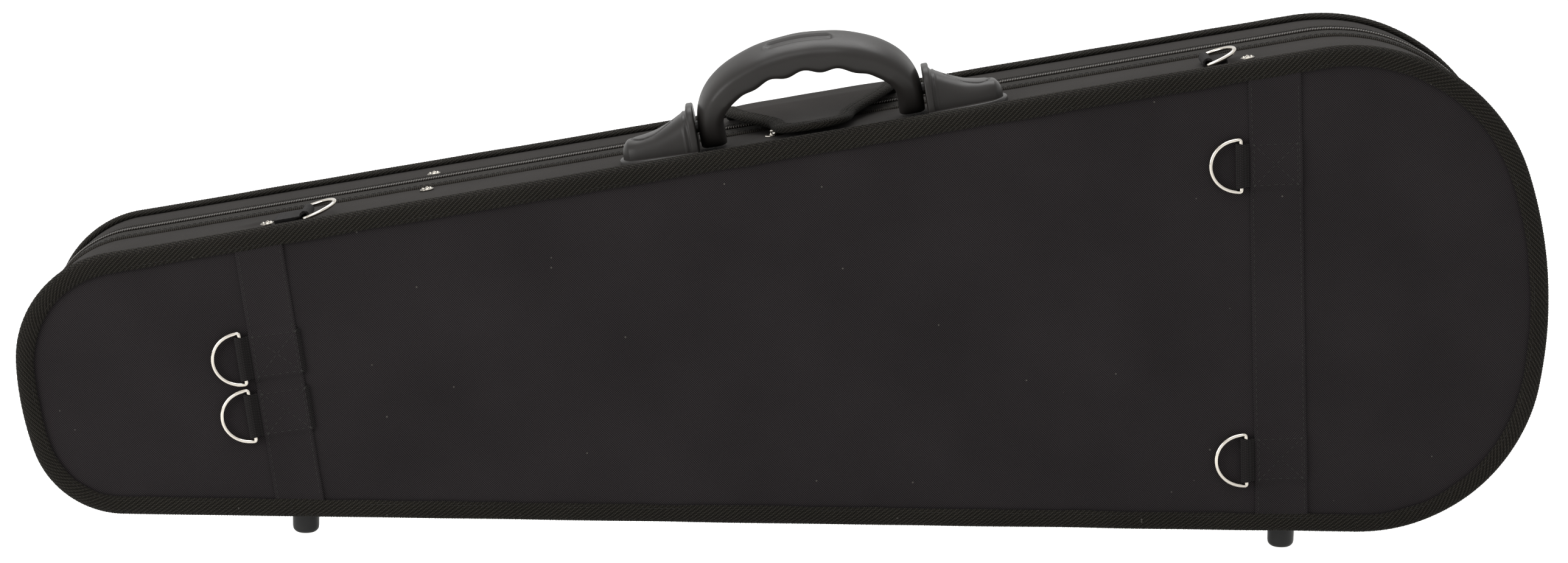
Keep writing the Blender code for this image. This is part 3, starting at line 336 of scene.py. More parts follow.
def scuffGroup():
    # Uneven polish and hairline scratches for plastic and metal.
    tree, given, out = addGroup(
        "scuff",
        [("Vector", "NodeSocketVector", None), ("Roughness Low", "NodeSocketFloat", 0.3),
         ("Roughness High", "NodeSocketFloat", 0.5), ("Grain Scale", "NodeSocketFloat", 1800.0)],
        [("Roughness", "NodeSocketFloat"), ("Grain", "NodeSocketFloat")])
    broad = addNode(tree, "ShaderNodeTexNoise", {"Vector": given["Vector"], "Scale": 45.0, "Detail": 4.0})
    stretched = addNode(tree, "ShaderNodeVectorMath", {0: given["Vector"], 1: (60.0, 900.0, 900.0)}, operation="MULTIPLY")
    lines = addNode(tree, "ShaderNodeTexNoise", {"Vector": stretched.outputs[0], "Scale": 1.0, "Detail": 2.0})
    mixed = maths(tree, "MULTIPLY_ADD", lines.outputs["Fac"], 0.35, maths(tree, "MULTIPLY", broad.outputs["Fac"], 0.65))
    rough = addNode(tree, "ShaderNodeMapRange", {0: mixed, 1: 0.3, 2: 0.7, 3: given["Roughness Low"], 4: given["Roughness High"]})
    grain = addNode(tree, "ShaderNodeTexVoronoi", {"Vector": given["Vector"], "Scale": given["Grain Scale"]}, feature="F1")
    tree.links.new(rough.outputs[0], out["Roughness"])
    tree.links.new(grain.outputs["Distance"], out["Grain"])
    return tree


weaves = {"plain": plainWeaveGroup(), "chevron": chevronGroup(), "ribbed": ribbedGroup()}
lint, scuff = lintGroup(), scuffGroup()

cloths = {  # painted shade colour for the weave's hollows and colour for the thread tops, weave and its sizes, bump in metres, roughness, sheen
    "panelCloth": {"hollowShadeAndTop": ((0.003, 0.0025, 0.003), (0.026, 0.0225, 0.0235)), "weave": "plain",
                   "sizes": {"Thread Pitch": 0.00060}, "depth": 0.00016, "roughness": 0.82, "sheen": 0.03},
    "wallCloth": {"hollowShadeAndTop": ((0.012, 0.0105, 0.0095), (0.022, 0.0195, 0.0178)), "weave": "plain",
                  "sizes": {"Thread Pitch": 0.00034}, "depth": 0.00006, "roughness": 0.78, "sheen": 0.02},
    "bindingTape": {"hollowShadeAndTop": ((0.002, 0.0018, 0.0014), (0.052, 0.047, 0.039)), "weave": "chevron",
                    "sizes": {}, "depth": 0.00030, "roughness": 0.78, "sheen": 0.03},
    "zipTapeCloth": {"hollowShadeAndTop": ((0.002, 0.0018, 0.0015), (0.036, 0.032, 0.027)), "weave": "ribbed",
                     "sizes": {}, "depth": 0.00022, "roughness": 0.80, "sheen": 0.03},
    "webbingCloth": {"hollowShadeAndTop": ((0.003, 0.0027, 0.0027), (0.024, 0.0215, 0.0215)), "weave": "ribbed",
                     "sizes": {"Rib Pitch": 0.0009, "Line Pitch": 0.0012}, "depth": 0.00014,
                     "roughness": 0.78, "sheen": 0.04},
}


def clothMaterial(name, slotName):
    look = cloths[name]
    material = bpy.data.materials.new(slotName)
    material.use_nodes = True
    tree = material.node_tree
    shader = tree.nodes["Principled BSDF"]
    place = addNode(tree, "ShaderNodeUVMap", uv_map="clothUv").outputs[0]
    weave = addNode(tree, "ShaderNodeGroup", node_tree=weaves[look["weave"]])
    tree.links.new(place, weave.inputs["Vector"])
    for label, value in look["sizes"].items():
        weave.inputs[label].default_value = value
    cover = addNode(tree, "ShaderNodeGroup", node_tree=lint)
    tree.links.new(place, cover.inputs["Vector"])
    # The weave's relief picks the colour: painted shade in the hollows between threads and the lighter colour on the
    # thread tops.
    threadShading = addNode(tree, "ShaderNodeMix", {0: weave.outputs["Thread"], 6: (*look["hollowShadeAndTop"][0], 1), 7: (*look["hollowShadeAndTop"][1], 1)},
                      data_type="RGBA")
    cloud = addNode(tree, "ShaderNodeMapRange", {0: cover.outputs["Cloud"], 1: 0.3, 2: 0.7, 3: 0.88, 4: 1.12})
    tinted = addNode(tree, "ShaderNodeVectorMath", {0: threadShading.outputs[2], 3: cloud.outputs[0]}, operation="SCALE")
    specked = addNode(tree, "ShaderNodeMix", {0: cover.outputs["Speck"], 6: tinted.outputs[0], 7: (0.058, 0.054, 0.049, 1)},
                      data_type="RGBA")
    tree.links.new(specked.outputs[2], shader.inputs["Base Color"])
    bump = addNode(tree, "ShaderNodeBump", {"Height": weave.outputs["Height"], "Strength": 1.0, "Distance": look["depth"]})
    tree.links.new(bump.outputs[0], shader.inputs["Normal"])
    shader.inputs["Roughness"].default_value = look["roughness"]
    shader.inputs["Sheen Weight"].default_value = look["sheen"]
    shader.inputs["Sheen Roughness"].default_value = 0.45
    shader.inputs["Specular IOR Level"].default_value = 0.06
    return material


solids = {  # base colour, metallic, roughness from and to, grain bump in metres
    "handlePlastic": ((0.016, 0.0145, 0.0135), 0.0, (0.34, 0.44), 0.00002),
    "footPlastic": ((0.012, 0.012, 0.012), 0.0, (0.40, 0.60), 0.00003),
    "coilPlastic": ((0.060, 0.054, 0.048), 0.0, (0.14, 0.26), 0.0),
    "nickelPlate": ((0.64, 0.60, 0.54), 1.0, (0.08, 0.20), 0.0),
    "rivetNickel": ((0.24, 0.225, 0.20), 1.0, (0.12, 0.28), 0.0),
    "hingeSteel": ((0.50, 0.49, 0.47), 1.0, (0.28, 0.45), 0.00001),
    "threadBlack": ((0.016, 0.015, 0.014), 0.0, (0.55, 0.75), 0.00003),
}


def solidMaterial(name):
    colour, metallic, rough, grain = solids[name]
    material = bpy.data.materials.new(name)
    material.use_nodes = True
    tree = material.node_tree
    shader = tree.nodes["Principled BSDF"]
    place = addNode(tree, "ShaderNodeTexCoord").outputs["Object"]
    wear = addNode(tree, "ShaderNodeGroup", node_tree=scuff)
    tree.links.new(place, wear.inputs["Vector"])
    wear.inputs["Roughness Low"].default_value, wear.inputs["Roughness High"].default_value = rough
    shade = addNode(tree, "ShaderNodeTexNoise", {"Vector": place, "Scale": 30.0, "Detail": 3.0})
    tone = addNode(tree, "ShaderNodeMapRange", {0: shade.outputs["Fac"], 1: 0.3, 2: 0.7, 3: 0.90, 4: 1.08})
    tinted = addNode(tree, "ShaderNodeVectorMath", {0: colour, 3: tone.outputs[0]}, operation="SCALE")
    tree.links.new(tinted.outputs[0], shader.inputs["Base Color"])
    tree.links.new(wear.outputs["Roughness"], shader.inputs["Roughness"])
    shader.inputs["Metallic"].default_value = metallic
    shader.inputs["Specular IOR Level"].default_value = 0.5 if metallic else 0.24
    if grain:
        bump = addNode(tree, "ShaderNodeBump", {"Height": wear.outputs["Grain"], "Strength": 0.6, "Distance": grain})
        tree.links.new(bump.outputs[0], shader.inputs["Normal"])
    return material


def plushMaterial(name, colour, tip):
    # Short pile: clumped nap with a bright rim from the sheen.
    material = bpy.data.materials.new(name)
    material.use_nodes = True
    tree = material.node_tree
    shader = tree.nodes["Principled BSDF"]
    place = addNode(tree, "ShaderNodeTexCoord").outputs["Object"]
    clump = addNode(tree, "ShaderNodeTexNoise", {"Vector": place, "Scale": 60.0, "Detail": 4.0, "Distortion": 0.6})
    hair = addNode(tree, "ShaderNodeTexNoise", {"Vector": place, "Scale": 1100.0, "Detail": 2.0})
    both = maths(tree, "MULTIPLY_ADD", hair.outputs["Fac"], 0.45, maths(tree, "MULTIPLY", clump.outputs["Fac"], 0.55))
    shade = addNode(tree, "ShaderNodeMapRange", {0: both, 1: 0.35, 2: 0.65, 3: 0.0, 4: 1.0})
    mixed = addNode(tree, "ShaderNodeMix", {0: shade.outputs[0], 6: (*colour, 1), 7: (*tip, 1)}, data_type="RGBA")
    tree.links.new(mixed.outputs[2], shader.inputs["Base Color"])
    bump = addNode(tree, "ShaderNodeBump", {"Height": both, "Strength": 0.8, "Distance": 0.0006})
    tree.links.new(bump.outputs[0], shader.inputs["Normal"])
    shader.inputs["Roughness"].default_value = 0.95
    shader.inputs["Sheen Weight"].default_value = 0.6
    shader.inputs["Sheen Roughness"].default_value = 0.5
    return material


def boardMaterial():
    material = bpy.data.materials.new("pressedBoard")
    material.use_nodes = True
    tree = material.node_tree
    shader = tree.nodes["Principled BSDF"]
    place = addNode(tree, "ShaderNodeTexCoord").outputs["Object"]
    fibre = addNode(tree, "ShaderNodeTexNoise", {"Vector": place, "Scale": 420.0, "Detail": 4.0, "Distortion": 1.5})
    ramp = addNode(tree, "ShaderNodeMapRange", {0: fibre.outputs["Fac"], 1: 0.3, 2: 0.7, 3: 0.0, 4: 1.0})
    mixed = addNode(tree, "ShaderNodeMix", {0: ramp.outputs[0], 6: (0.020, 0.018, 0.017, 1), 7: (0.055, 0.048, 0.042, 1)},
                    data_type="RGBA")
    tree.links.new(mixed.outputs[2], shader.inputs["Base Color"])
    bump = addNode(tree, "ShaderNodeBump", {"Height": fibre.outputs["Fac"], "Strength": 0.5, "Distance": 0.0002})
    tree.links.new(bump.outputs[0], shader.inputs["Normal"])
    shader.inputs["Roughness"].default_value = 0.85
    return material


panelCloth = clothMaterial("panelCloth", "panelCloth")
wallCloth = clothMaterial("wallCloth", "wallCloth")
bindingTape = clothMaterial("bindingTape", "bindingTape")
zipTapeCloth = clothMaterial("zipTapeCloth", "zipTapeCloth")
webbingCloth = clothMaterial("webbingCloth", "webbingCloth")
handlePlastic, footPlastic = solidMaterial("handlePlastic"), solidMaterial("footPlastic")
coilPlastic, nickelPlate = solidMaterial("coilPlastic"), solidMaterial("nickelPlate")
rivetNickel = solidMaterial("rivetNickel")
hingeSteel, threadBlack = solidMaterial("hingeSteel"), solidMaterial("threadBlack")
greyPlush = plushMaterial("greyPlush", (0.030, 0.033, 0.042), (0.085, 0.092, 0.110))
pressedBoard = boardMaterial()
print("materials made:", len(bpy.data.materials))

# ---- repeats: stitches and zip teeth along a line of points


def repeatTree():
    tree, given, out = addGroup(
        "beadsOnLine",
        [("Line", "NodeSocketGeometry", None), ("Pitch", "NodeSocketFloat", 0.003),
         ("Size", "NodeSocketVector", None), ("Follow Line", "NodeSocketBool", True),
         ("Finish", "NodeSocketMaterial", None)],
        [("Geometry", "NodeSocketGeometry")], "GeometryNodeTree")
    curve = addNode(tree, "GeometryNodeMeshToCurve", {0: given["Line"]})
    spaced = addNode(tree, "GeometryNodeResampleCurve", {"Curve": curve.outputs[0], "Length": given["Pitch"]}, mode="LENGTH")
    bead = addNode(tree, "GeometryNodeMeshUVSphere", {"Segments": 6, "Rings": 4, "Radius": 0.5})
    sized = addNode(tree, "GeometryNodeTransform", {"Geometry": bead.outputs[0], "Scale": given["Size"]})
    tangent = addNode(tree, "GeometryNodeInputTangent")
    turned = addNode(tree, "FunctionNodeAlignRotationToVector", {"Vector": tangent.outputs[0]}, axis="X")
    turn = addNode(tree, "GeometryNodeSwitch", {0: given["Follow Line"]}, input_type="ROTATION")
    tree.links.new(turned.outputs[0], turn.inputs[2])
    placed = addNode(tree, "GeometryNodeInstanceOnPoints", {"Points": spaced.outputs[0], "Instance": sized.outputs[0],
                                                           "Rotation": turn.outputs[0]})
    real = addNode(tree, "GeometryNodeRealizeInstances", {0: placed.outputs[0]})
    smooth = addNode(tree, "GeometryNodeSetShadeSmooth", {0: real.outputs[0]})
    finished = addNode(tree, "GeometryNodeSetMaterial", {"Geometry": smooth.outputs[0], "Material": given["Finish"]})
    tree.links.new(finished.outputs[0], out["Geometry"])
    return tree


beadsOnLine = repeatTree()


def beads(name, lines, pitch, size, finish, follow=True):
    verts, edges = [], []
    for line in lines:
        first = len(verts)
        verts += [tuple(p) for p in line]
        edges += [(first + i, first + i + 1) for i in range(len(line) - 1)]
    mesh = bpy.data.meshes.new(name)
    mesh.from_pydata(verts, edges, [])
    made = bpy.data.objects.new(name, mesh)
    bpy.context.scene.collection.objects.link(made)
    step = made.modifiers.new("beads", "NODES")
    step.node_group = beadsOnLine
    sockets = {s.name: s.identifier for s in beadsOnLine.interface.items_tree if s.in_out == "INPUT"}
    step[sockets["Pitch"]], step[sockets["Size"]] = pitch, size
    step[sockets["Follow Line"]], step[sockets["Finish"]] = follow, finish
    made.update_tag()
    result = made.evaluated_get(bpy.context.evaluated_depsgraph_get())
    plain = bpy.data.meshes.new_from_object(result)
    made.modifiers.clear()
    made.data = plain
    if not plain.materials:
        plain.materials.append(finish)
    bpy.data.meshes.remove(mesh)
    return made


# ---- panels, walls, binding and zip

skins = {
    "panelSink": 0.0020, "panelBack": 0.0031, "panelCrown": 0.0006, "wallInset": 0.0025, "wallBack": 0.0036,
    "bindingWidth": 0.0093, "bindingRound": 0.0055, "bindingThick": 0.0019, "bindingRelief": 0.00036,
    "bindingPuff": 0.0006, "ribPitch": 0.0030, "ribSlope": 1.5,
    "tapeWidth": {"base": 0.0215, "lid": 0.0092}, "toothPitch": 0.00135,
}
coarse, trackLength, zipEnd = rimTrack(0.003)


def spotOn(entry, inset, y):
    p, n = entry[1], entry[2]
    return Vector((p.x - n.x * inset, y, p.y - n.y * inset))


def panelRise(x, z, edge):
    crown = skins["panelCrown"] * smoothStep(0.009, 0.024, edge)
    return crown + ripple(x, 0, z, 0.05, 0.00018) * smoothStep(0.008, 0.03, edge)


def edgeDistance(x, z):
    # Distance of a panel point to the outline, taken at the nearest track point.
    return min((Vector((x, z)) - e[1]).dot(-e[2]) for e in coarse[::6])


def panelPiece(name, faceY, inward):
    low, high = Vector((-0.300, 0.098)), Vector((0.262, 0.134))
    shares = [0, 0.2, 0.4, 0.58, 0.72, 0.82, 0.89, 0.94, 0.965, 0.98, 0.992, 1.0]
    rows, flats = [], []
    for entry in coarse:
        rim = entry[1] - entry[2] * 0.0040
        t = max(0.0, min(1.0, (rim - low).dot(high - low) / (high - low).length_squared))
        centre = low.lerp(high, round(t * 140) / 140)
        front, flat = [], []
        for share in shares:
            p = centre.lerp(rim, share)
            edge = (entry[1] - p).dot(entry[2])
            y = faceY + inward * (skins["panelSink"] - panelRise(p.x, p.y, edge))
            front.append(Vector((p.x, y, p.y)))
            flat.append((p.x, p.y))
        back = [Vector((v.x, faceY + inward * skins["panelBack"], v.z)) for v in reversed(front)]
        rows.append(front + back)
        flats.append(flat + flat[::-1])
    wide = len(rows[0])
    verts = [p for row in rows for p in row]
    faces, uvs = [], []
    for i in range(len(rows)):
        k = (i + 1) % len(rows)
        for j in range(wide - 1):
            corners = ((i, j), (k, j), (k, j + 1), (i, j + 1))
            faces.append(tuple(a * wide + b for a, b in corners))
            for a, b in corners:
                uvs += flats[a][b]
    built = addMesh(name, verts, faces, uvs, panelCloth, weld=True)
    return built


def wrinkle(x, y, slits):
    total = 0.0
    for sx, sy, side, reach in slits:
        dx, dy = (x - sx) * side, y - sy
        if -0.006 < dx < reach:
            fade = smoothStep(-0.006, 0.002, dx) * (1 - smoothStep(reach * 0.25, reach, dx))
            fan = math.atan2(dy, dx + 0.006)
            total += 0.0009 * fade * math.cos(fan * 9 + dx * 160) * (1 - smoothStep(0.008, 0.016, abs(dy)))
    return total


wallSlits = {"base": ((-0.262, -0.0395, -1, 0.026), (0.224, -0.0395, 1, 0.022)), "lid": ()}


def wallPiece(side, faceY, inward):
    near = faceY + inward * 0.0040
    splitY = caseShape["splitY"]
    tapeEdge = splitY - inward * (0.0023 + skins["tapeWidth"][side])
    rows, us = [], []
    across = steps(16)
    fine = rimTrack(0.0022)[0] if side == "base" else coarse
    for entry in fine:
        onZip = entry[0] < zipEnd
        far = tapeEdge + inward * 0.0030 if onZip else splitY - inward * 0.0002
        outer, inner = [], []
        for t in across:
            y = near + (far - near) * t
            p = entry[1]
            crown = 0.0005 * math.sin(math.pi * t) + ripple(entry[0], y, 3.0, 0.03, 0.00016)
            if entry[2].y > 0.9 and abs(p.x) < 0.3:
                crown += wrinkle(p.x, y, wallSlits[side])
            outer.append(spotOn(entry, skins["wallInset"] - crown * math.sin(math.pi * min(1, t * 1.0)) ** 0.5, y))
        for t in (1.0, 0.0):
            inner.append(spotOn(entry, skins["wallBack"], near + (far - near) * t))
        rows.append(outer + inner)
        us.append(entry[0])
    us.append(trackLength)
    width = abs(tapeEdge - near)
    vs = [width * t for t in across] + [width, 0.0, 0.0]
    return sweep(side + "WallCloth", rows, us, vs, wallCloth, loopAlong=True)


def bindingProfile():
    # (inset, depth) pairs over the outside of the tape, from its wall edge to its panel edge.
    r, w = skins["bindingRound"], skins["bindingWidth"]
    points = [(0.0, w - (w - r) * t) for t in steps(6)[:-1]]
    points += [(r * (1 - math.cos(math.pi / 2 * t)), r * (1 - math.sin(math.pi / 2 * t))) for t in steps(12)]
    points += [(r + (w - r) * t, 0.0) for t in steps(6)[1:]]
    return points


def bindingPiece(side, faceY, inward):
    fine, length, _ = rimTrack(0.00082)
    profile = bindingProfile()
    spans = arcLengths([(a, b, 0) for a, b in profile])[:len(profile)]
    total = spans[-1]
    look = skins["bindingRelief"]
    rows, us = [], []
    for entry in fine:
        s = entry[0]
        wobbleA = noise.noise(Vector((s * 55, 1.3, faceY * 90))) * 0.00045 + noise.noise(Vector((s * 380, 9.3, 0))) * 0.00018
        wobbleB = noise.noise(Vector((s * 55, 7.7, faceY * 90))) * 0.00045 + noise.noise(Vector((s * 380, 2.3, 0))) * 0.00018
        puff = noise.noise(Vector((s * 30, 4.1, faceY * 50))) * 0.00022
        ring = []
        for (inset, depth), v in zip(profile, spans):
            fold = total / 2 - abs(v - total / 2)
            rib = math.cos(math.tau * (s + fold * skins["ribSlope"]) / skins["ribPitch"])
            edge = min(v, total - v)
            lift = look * rib * smoothStep(0.0, 0.0012, edge) + puff - 0.0006 * (1 - smoothStep(0.0, 0.0012, edge))
            lift += skins["bindingPuff"] * smoothStep(0.0, 0.004, edge)
            # the lift points out of the rounded corner
            a = max(0.0, min(1.0, (v - 0.0038) / 0.00864)) * math.pi / 2
            inset2, depth2 = inset - lift * math.cos(a), depth - lift * math.sin(a)
            if v < 0.0038:
                depth2 += wobbleA * (1 - v / 0.0038)
            if total - v < 0.0038:
                inset2 += wobbleB * (1 - (total - v) / 0.0038)
            ring.append(spotOn(entry, inset2, faceY + inward * depth2))
        t, w = skins["bindingThick"], skins["bindingWidth"]
        under = [(w + wobbleB - 0.0002, t * 0.9), (t + 0.0010, t), (t, t + 0.0010), (t * 1.15, w + wobbleA - 0.0002)]
        ring += [spotOn(entry, inset, faceY + inward * depth) for inset, depth in under]
        rows.append(ring)
        us.append(s)
    us.append(length)
    vs = spans + [total + 0.001, total + 0.009, total + 0.010, total + 0.018, total + 0.020]
    return sweep(side + "BindingTape", rows, us, vs, bindingTape, loopAlong=True)


def zipTapePiece(side, inward):
    splitY = caseShape["splitY"]
    width = skins["tapeWidth"][side]
    fine = [e for e in rimTrack(0.0016)[0] if e[0] <= zipEnd]
    near = splitY - inward * 0.0008
    rows, us = [], []
    count = 14
    for entry in fine:
        s = entry[0]
        ragged = noise.noise(Vector((s * 70, 3.0 if side == "base" else 8.0, 0))) * 0.0007
        ragged += noise.noise(Vector((s * 420, 5.0, 0))) * 0.0003
        outer = []
        for t in steps(count):
            y = near - inward * (width + 0.0015 + ragged) * t
            out = 0.0008 + 0.0005 * smoothStep(0.75, 0.93, t) - 0.0010 * smoothStep(0.96, 1.0, t)
            out -= 0.0009 * smoothStep(0.12, 0.0, t) if t < 0.12 else 0.0
            out += ripple(s, y, 1.0, 0.012, 0.00025) * t
            outer.append(spotOn(entry, skins["wallInset"] - out, y))
        backY = [outer[-1].y + inward * 0.0001, near]
        inner = [spotOn(entry, skins["wallInset"] + 0.0004, y) for y in backY]
        rows.append(outer + inner)
        us.append(s)
    vs = [width * t for t in steps(count)] + [width, 0.0, 0.0]
    return sweep(side + "ZipTape", rows, us, vs, zipTapeCloth, caps=True)


def rideSheet(piece, body, nodesHidden):
    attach(piece, body)
    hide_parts(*nodesHidden)
    return piece


for side, faceY, inward in (("base", caseShape["panelY"], 1), ("lid", caseShape["lidY"], -1)):
    panel = panelPiece(side + "PanelCloth", faceY, inward)
    rideSheet(panel, side, [side + "_panel_cover"])
    wall = wallPiece(side, faceY, inward)
    rideSheet(wall, side, [side + "_wall_cover"])
    edge = bindingPiece(side, faceY, inward)
    rideSheet(edge, side, [side + "_binding"])
    tape = zipTapePiece(side, inward)
    rideSheet(tape, side, ["zip_tape_" + side])
    zipLine = [spotOn(e, skins["wallInset"] - 0.0011, caseShape["splitY"] - inward * 0.00085)
               for e in coarse if e[0] <= zipEnd]
    if inward < 0:
        zipLine = [zipLine[0].lerp(zipLine[1], 0.22)] + zipLine[1:]
    coil = beads(side + "ZipCoil", [zipLine], skins["toothPitch"], (0.00100, 0.0026, 0.00120), coilPlastic, follow=False)
    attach(coil, side)
    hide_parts("zip_teeth_" + side)
print("skins made")

# ---- handle

grip = {
    "place": 0.0153, "depth": 0.030, "pivotHeight": 0.0131, "lean": math.radians(15), "outerHalf": 0.0588,
    "thick": 0.0135, "crown": 0.0160, "rise": 0.0392, "half": 0.0150, "fingerDepth": 0.0012, "fingerPitch": 0.0175,
    "recess": (0.0178, 0.0036, 0.0011), "pinRadius": 0.0032, "pinLength": 0.0042,
}
mount = {"inner": 0.060, "length": 0.0395, "rim": 0.0036, "height": 0.0255, "half": 0.0185, "flange": 0.0030}
handleBase = topFrame(grip["place"], caseShape["panelY"] + grip["depth"])


def gripHalfWidth(height):
    if height < 0:
        return 0.0121 * math.sqrt(max(1 - (height / 0.0120) ** 2, 0.05))
    return min(0.0124 + 0.16 * height, grip["half"])


def signedPower(x, power):
    return math.copysign(abs(x) ** power, x)


def gripPiece():
    outerHalf = grip["outerHalf"]
    innerHalf, innerRise = outerHalf - grip["thick"], grip["rise"] - grip["crown"]
    legs = [((outerHalf, z), (innerHalf, z)) for z in (-0.0115, -0.0112, -0.0105, -0.0095, -0.008, -0.006, -0.004, -0.002)]
    stations = list(legs)
    count = 200
    for t in steps(count):
        a = math.pi * t
        x = innerHalf * math.cos(a)
        fade = max(0.0, 1 - (x / (grip["fingerPitch"] * 2)) ** 4)
        finger = grip["fingerDepth"] * math.cos(math.tau * (x / grip["fingerPitch"] + 0.5)) * fade
        outer = (outerHalf * math.cos(a), grip["rise"] * math.sin(a) ** 0.9)
        stations.append((outer, (x, innerRise * math.sin(a) - finger)))
    stations += [((-ox, oz), (-ix, iz)) for (ox, oz), (ix, iz) in reversed(legs)]
    place = handleBase @ Matrix.Translation((0, 0, grip["pivotHeight"])) @ Matrix.Rotation(grip["lean"], 4, "X")
    rows, around = [], 96
    long, wide, deep = grip["recess"]
    for outer, inner in stations:
        outer, inner = Vector(outer), Vector(inner)
        centre, reach = (outer + inner) / 2, (outer - inner) / 2
        half = gripHalfWidth(centre.y)
        shrink = 1.0 if centre.y > -0.0105 else 0.93 if centre.y > -0.0113 else 0.82
        ring = []
        for i in range(around):
            a = math.tau * i / around
            along, across = signedPower(math.cos(a), 0.62), signedPower(math.sin(a), 0.78) * half * shrink
            spot = centre + reach * along * shrink
            if math.cos(a) > 0 and abs(spot.x) < long + 0.003 and centre.y > 0:
                gap = math.hypot(max(abs(spot.x) - (long - wide), 0.0), across)
                lip = 0.00025 * math.exp(-((gap - wide - 0.0007) / 0.0006) ** 2)
                spot = spot - reach.normalized() * (deep * (1 - smoothStep(wide - 0.0006, wide + 0.0006, gap)) - lip)
            ring.append(place @ Vector((spot.x, across, spot.y)))
        rows.append(ring)
    body = sweep("gripBody", rows, [0.0] * len(rows), [0.0] * (around + 1), handlePlastic, caps=True)
    parts = [body]
    for side in (-1, 1):
        pin = []
        for x in (outerHalf - 0.004, outerHalf + 0.0012 + grip["pinLength"] - 0.0004, outerHalf + 0.0012 + grip["pinLength"]):
            r = grip["pinRadius"] * (0.85 if x > outerHalf + 0.0052 else 1)
            pin.append([place @ Vector((side * x, r * math.cos(math.tau * i / 32), r * math.sin(math.tau * i / 32)))
                        for i in range(32)])
        parts.append(sweep("gripPin", pin, [0.0] * 3, [0.0] * 33, handlePlastic, caps=True, sharp=40))
    return joined("handleGrip", parts)


def teardropGap(x, y):
    # Signed distance, near enough, from the outline of the screw cover in plan.
    start, end, half = mount["length"] * 0.25, mount["length"] * 0.86, mount["half"] * 0.40
    middle = end - half
    if x > middle:
        return math.hypot(x - middle, y) - half
    t = max(0.0, (x - start) / (middle - start))
    wide = half * math.sin(t * math.pi / 2) ** 0.9
    return (abs(y) - wide) * 0.8 if x > start else math.hypot(x - start, y)


bodyStations = [(0.0, 1.0, 1.0), (0.09, 0.88, 0.87), (0.15, 0.875, 0.84), (0.32, 0.83, 0.70), (0.52, 0.78, 0.56),
                (0.72, 0.71, 0.50), (0.86, 0.64, 0.49), (0.96, 0.55, 0.46), (1.0, 0.44, 0.40)]


def bodyAt(t):
    for (a, wa, ha), (b, wb, hb) in zip(bodyStations[1:], bodyStations[2:]):
        if t <= b:
            k = (t - a) / (b - a)
            return wa + (wb - wa) * k, ha + (hb - ha) * k
    return bodyStations[-1][1:]


def softBody(t):
    spread = (-0.05, -0.025, 0.0, 0.025, 0.05)
    values = [bodyAt(max(0.09, min(1.0, t + d))) for d in spread]
    nose = math.sqrt(max(0.0, 1 - (max(0.0, t - 0.90) / 0.105) ** 2))
    wide, high = (sum(v[k] for v in values) / len(values) for k in (0, 1))
    return wide * (0.35 + 0.65 * nose), high * (0.45 + 0.55 * nose)


def mountPiece(end, side):
    turn = Matrix.Identity(4) if side > 0 else Matrix.Rotation(math.pi, 4, "Z")
    place = handleBase @ turn @ Matrix.Translation((mount["inner"], 0, 0))
    rim, length = mount["rim"], mount["length"]
    spots = [(0.0, 0.975, 0.98), (0.0003, 0.99, 0.992), (0.0007, 1.0, 1.0), (rim - 0.0007, 1.0, 1.0),
             (rim - 0.0003, 0.99, 0.992), (rim, 0.975, 0.98), (rim + 0.0001, 0.89, 0.90), (rim + 0.0006, 0.875, 0.885)]
    for t in steps(110)[3:]:
        wide, high = softBody(0.09 + 0.91 * t)
        ridge = 0.018 * math.exp(-((t - 0.06) / 0.02) ** 2)  # a bead beside the rim plate
        spots.append((rim + (length - rim) * t, wide + ridge, high + ridge))
    rows, around = [], 90
    for x, wide, high in spots:
        ring = []
        for i in range(around):
            a = math.pi * i / (around - 1)
            y = signedPower(math.cos(a), 0.62) * mount["half"] * wide
            z = 0.001 + (mount["height"] * high - 0.001) * math.sin(a) ** 0.62
            if x > rim + 0.002 and math.sin(a) > 0.2:
                gap = teardropGap(x, y)
                z -= 0.0006 * math.exp(-(gap / 0.00045) ** 2) - 0.00025 * (1 - smoothStep(-0.0012, 0.0, gap))
            ring.append(place @ Vector((x, y, z)))
        rows.append(ring)
    body = sweep("mountBody", rows, [0.0] * len(rows), [0.0] * (around + 1), handlePlastic, caps=True, sharp=50)
    half, spread = mount["half"] + 0.0012, 0.0022
    centre = length + spread - half
    plan = [(0.0003, half)] + [(centre + half * math.cos(math.pi / 2 - math.pi * t), half * math.sin(math.pi / 2 - math.pi * t))
                              for t in steps(40)] + [(0.0003, -half)]
    lips = [(0.0, 0.0003), (0.0, mount["flange"] - 0.0008), (0.0003, mount["flange"] - 0.0003), (0.0009, mount["flange"]),
            (0.0030, mount["flange"] + 0.0002)]
    rows = []
    for back, z in lips:
        rows.append([place @ Vector((x if x < 0.001 else x - back * max(0.0, x - centre) / half,
                                     y * (1 - back / half), z)) for x, y in plan])
    flange = sweep("mountFlange", rows, [0.0] * len(rows), [0.0] * (len(plan) + 1), handlePlastic, caps=True, sharp=50)
    made = joined("handleMount" + end.capitalize(), [body, flange])
    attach(made, "base")
    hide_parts("handle_mount_" + end, "handle_cap_" + end)
    return made


handle = gripPiece()
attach(handle, "handle")
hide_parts("handle_grip")
mountPiece("narrow", -1)
mountPiece("wide", 1)
print("handle made")

# ---- rings, tabs and bands

ringLook = {"half": 0.0136, "reach": 0.0156, "wire": 0.00108, "tabWidth": 0.023, "webbing": 0.0013, "tabLength": 0.031}
bands = (  # name, x at the spine, lean, width, ring heights
    ("narrow", -0.2475, math.radians(8.9), 0.0250, (0.0995, 0.0695)),
    ("wide", 0.2620, math.radians(3.0), 0.0272, (0.2065, 0.0520)),
)
wallRings = (("narrow", -0.247, -1, math.radians(12), math.radians(4)), ("wide", 0.2175, 1, math.radians(13), math.radians(3)))


def chaikin(points, rounds):
    for _ in range(rounds):
        cut = []
        for a, b in zip(points, points[1:] + points[:1]):
            cut += [a.lerp(b, 0.25), a.lerp(b, 0.75)]
        points = cut
    return points


